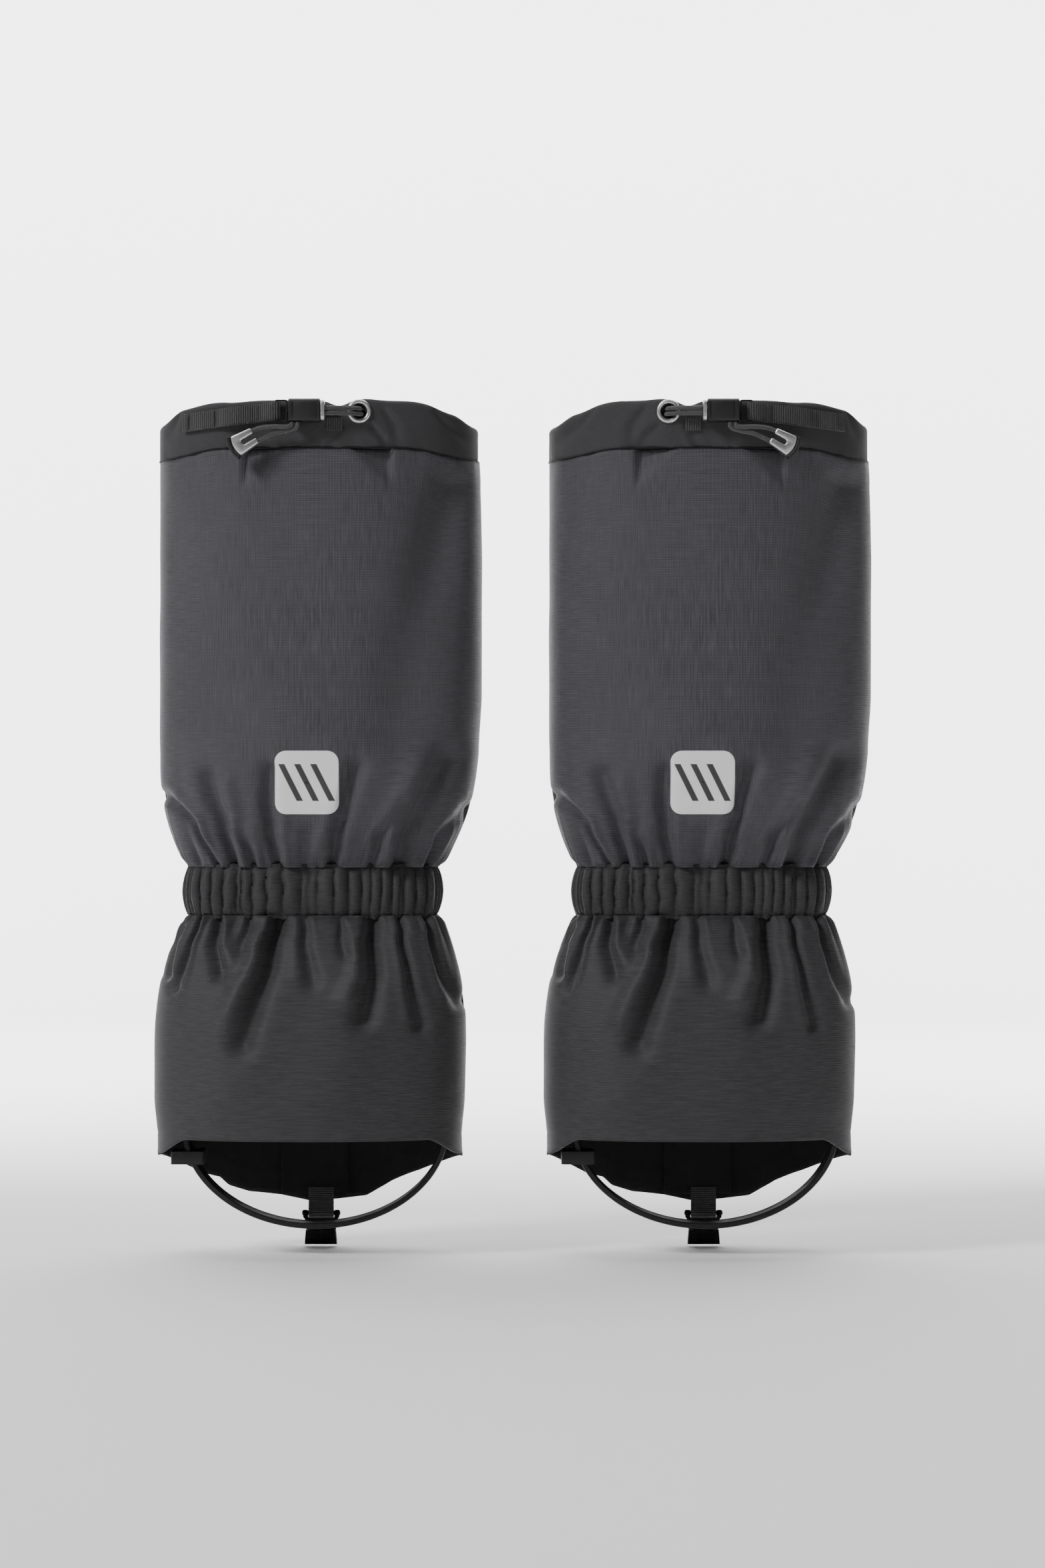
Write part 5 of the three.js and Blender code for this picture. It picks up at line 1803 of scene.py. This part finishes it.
def backdrop():
    """Seamless paper: a floor just under the hooks that curves up far behind."""
    floor = MODEL_BOX[0][2] - 0.001
    line = [(-6.0, 0.0), (2.4, 0.0)]
    line += [(2.4 + 1.2 * math.sin(a), 1.2 - 1.2 * math.cos(a)) for a in np.linspace(0.05, math.pi / 2, 24)]
    line += [(3.6, 5.0)]
    points = [(x, y, floor + z) for y, z in line for x in (-6.0, 6.0)]
    faces = [[2 * i, 2 * i + 1, 2 * i + 3, 2 * i + 2] for i in range(len(line) - 1)]
    mesh = bpy.data.meshes.new("backdrop")
    mesh.from_pydata(points, [], faces)
    mesh.materials.append(finishes("stage"))
    mesh.polygons.foreach_set("use_smooth", [True] * len(faces))
    sheet = bpy.data.objects.new("backdrop", mesh)
    bpy.context.scene.collection.objects.link(sheet)


def softbox(name, place, target, size, power):
    """A rectangular light aimed at a point."""
    light = bpy.data.lights.new(name, "AREA")
    light.shape, light.size, light.size_y, light.energy = "RECTANGLE", size[0], size[1], power
    lamp = bpy.data.objects.new(name, light)
    lamp.location = place
    lamp.rotation_euler = (Vector(target) - Vector(place)).to_track_quat("-Z", "Y").to_euler()
    bpy.context.scene.collection.objects.link(lamp)


def lights():
    """All the lights, with the world."""
    softbox("key", (-2.7, -2.1, 2.7), (0, 0, 0.18), (0.9, 0.9), 115)
    softbox("fill", (1.9, -2.2, 0.6), (0, 0, 0.18), (1.6, 1.6), 3)
    softbox("top", (0, 0.5, 2.4), (0, 0.4, 0), (2.4, 2.0), 40)
    softbox("backdrop_left", (-1.7, 0.9, 1.3), (-0.9, 3.6, 1.0), (1.4, 1.8), 220)
    softbox("backdrop_right", (1.7, 0.9, 1.3), (0.9, 3.6, 1.0), (1.4, 1.8), 220)
    world = bpy.data.worlds.new("studio")
    world.use_nodes = True
    world.node_tree.nodes["Background"].inputs["Color"].default_value = (1, 1, 1, 1)
    world.node_tree.nodes["Background"].inputs["Strength"].default_value = 0.12
    bpy.context.scene.world = world


# ---- Operators -----------------------------------------------------------------------------------


def on_both(*builders):
    """Runs the builders on each gaiter."""
    for side in LEGS:
        for build in builders:
            build(side)
    return {"FINISHED"}


class GAITER_OT_camera(bpy.types.Operator):
    """Places the camera level with the middle of the gaiters, behind the calves"""

    bl_idname = "gaiter.camera"
    bl_label = "Camera"

    def execute(self, context):
        camera()
        return {"FINISHED"}


class GAITER_OT_cord_end(bpy.types.Operator):
    """Builds the clip and base at the end of the drawcord, and its free tail"""

    bl_idname = "gaiter.cord_end"
    bl_label = "Cord end and tail"

    def execute(self, context):
        return on_both(cord_end, tail_cord)


class GAITER_OT_ankle(bpy.types.Operator):
    """Builds the pleated ankle band and the elastic inside it"""

    bl_idname = "gaiter.ankle"
    bl_label = "Ankle band"

    def execute(self, context):
        return on_both(ankle_elastic, ankle_band)


class GAITER_OT_upper_shell(bpy.types.Operator):
    """Builds the calf panel"""

    bl_idname = "gaiter.upper_shell"
    bl_label = "Calf panel"

    def execute(self, context):
        return on_both(upper_shell)


class GAITER_OT_lower_skirt(bpy.types.Operator):
    """Builds the skirt over the boot"""

    bl_idname = "gaiter.lower_skirt"
    bl_label = "Skirt"

    def execute(self, context):
        return on_both(lower_skirt)


class GAITER_OT_collar(bpy.types.Operator):
    """Builds the folded collar and its seam"""

    bl_idname = "gaiter.collar"
    bl_label = "Collar"

    def execute(self, context):
        return on_both(collar_band, seam_welt)


class GAITER_OT_closure(bpy.types.Operator):
    """Builds the underlap, the two tapes, the flap and its stitching"""

    bl_idname = "gaiter.closure"
    bl_label = "Front closure"

    def execute(self, context):
        return on_both(closure_underlap, closure_tapes, closure_flap, flap_stitching)


class GAITER_OT_press_stud(bpy.types.Operator):
    """Builds the press stud at the top of the closure"""

    bl_idname = "gaiter.press_stud"
    bl_label = "Press stud"

    def execute(self, context):
        return on_both(press_stud)


class GAITER_OT_drawcord(bpy.types.Operator):
    """Builds the eyelet and the two runs of the drawcord"""

    bl_idname = "gaiter.drawcord"
    bl_label = "Eyelet and drawcord"

    def execute(self, context):
        return on_both(collar_eyelet, drawcord_runs)


class GAITER_OT_cord_lock(bpy.types.Operator):
    """Builds the cord lock"""

    bl_idname = "gaiter.cord_lock"
    bl_label = "Cord lock"

    def execute(self, context):
        return on_both(cord_lock)


class GAITER_OT_lock_webbing(bpy.types.Operator):
    """Builds the lock's webbing, its tacks and the keeper tab"""

    bl_idname = "gaiter.lock_webbing"
    bl_label = "Lock webbing"

    def execute(self, context):
        return on_both(lock_webbing, webbing_tacks, lock_keeper_tab)


class GAITER_OT_lace_hook(bpy.types.Operator):
    """Builds the webbing tab and the lace hook that hangs from it"""

    bl_idname = "gaiter.lace_hook"
    bl_label = "Lace hook"

    def execute(self, context):
        return on_both(hook_tab, lace_hook)


class GAITER_OT_instep_strap(bpy.types.Operator):
    """Builds the instep strap, its buckle and its anchor patches"""

    bl_idname = "gaiter.instep_strap"
    bl_label = "Instep strap"

    def execute(self, context):
        return on_both(instep_strap, strap_hardware)


class GAITER_OT_patch(bpy.types.Operator):
    """Builds the reflective patch on the calf"""

    bl_idname = "gaiter.patch"
    bl_label = "Reflective patch"

    def execute(self, context):
        return on_both(reflective_patch)


class GAITER_OT_stage(bpy.types.Operator):
    """Builds the floor, the backdrop and the lights"""

    bl_idname = "gaiter.stage"
    bl_label = "Stage"

    def execute(self, context):
        backdrop()
        lights()
        return {"FINISHED"}


OPERATORS = (
    GAITER_OT_camera,
    GAITER_OT_cord_end,
    GAITER_OT_ankle,
    GAITER_OT_upper_shell,
    GAITER_OT_lower_skirt,
    GAITER_OT_collar,
    GAITER_OT_closure,
    GAITER_OT_press_stud,
    GAITER_OT_drawcord,
    GAITER_OT_cord_lock,
    GAITER_OT_lock_webbing,
    GAITER_OT_lace_hook,
    GAITER_OT_instep_strap,
    GAITER_OT_patch,
    GAITER_OT_stage,
)


class GAITER_PT_sidebar(bpy.types.Panel):
    """Lists the gaiters' sizes, colours and operators"""

    bl_idname = "GAITER_PT_sidebar"
    bl_label = "Gaiters"
    bl_space_type = "VIEW_3D"
    bl_region_type = "UI"
    bl_category = "Gaiters"

    def draw(self, context):
        for group in (context.scene.gaiter_sizes, context.scene.gaiter_colours):
            for key in group.__annotations__:
                self.layout.prop(group, key)
        for operator in OPERATORS:
            self.layout.operator(operator.bl_idname)


CLASSES = (GaiterSizes, GaiterColours, *OPERATORS, GAITER_PT_sidebar)


def register():
    """Registers every class and adds the two groups of settings to the scene."""
    for made in CLASSES:
        bpy.utils.register_class(made)
    bpy.types.Scene.gaiter_sizes = bpy.props.PointerProperty(type=GaiterSizes)
    bpy.types.Scene.gaiter_colours = bpy.props.PointerProperty(type=GaiterColours)


def unregister():
    """Takes away what register added."""
    del bpy.types.Scene.gaiter_colours
    del bpy.types.Scene.gaiter_sizes
    for made in reversed(CLASSES):
        bpy.utils.unregister_class(made)


def main():
    """Registers the add-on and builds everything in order."""
    register()
    for operator in OPERATORS:
        group, name = operator.bl_idname.split(".")
        getattr(getattr(bpy.ops, group), name)()
    bpy.context.view_layer.update()


if __name__ == "__main__":
    main()
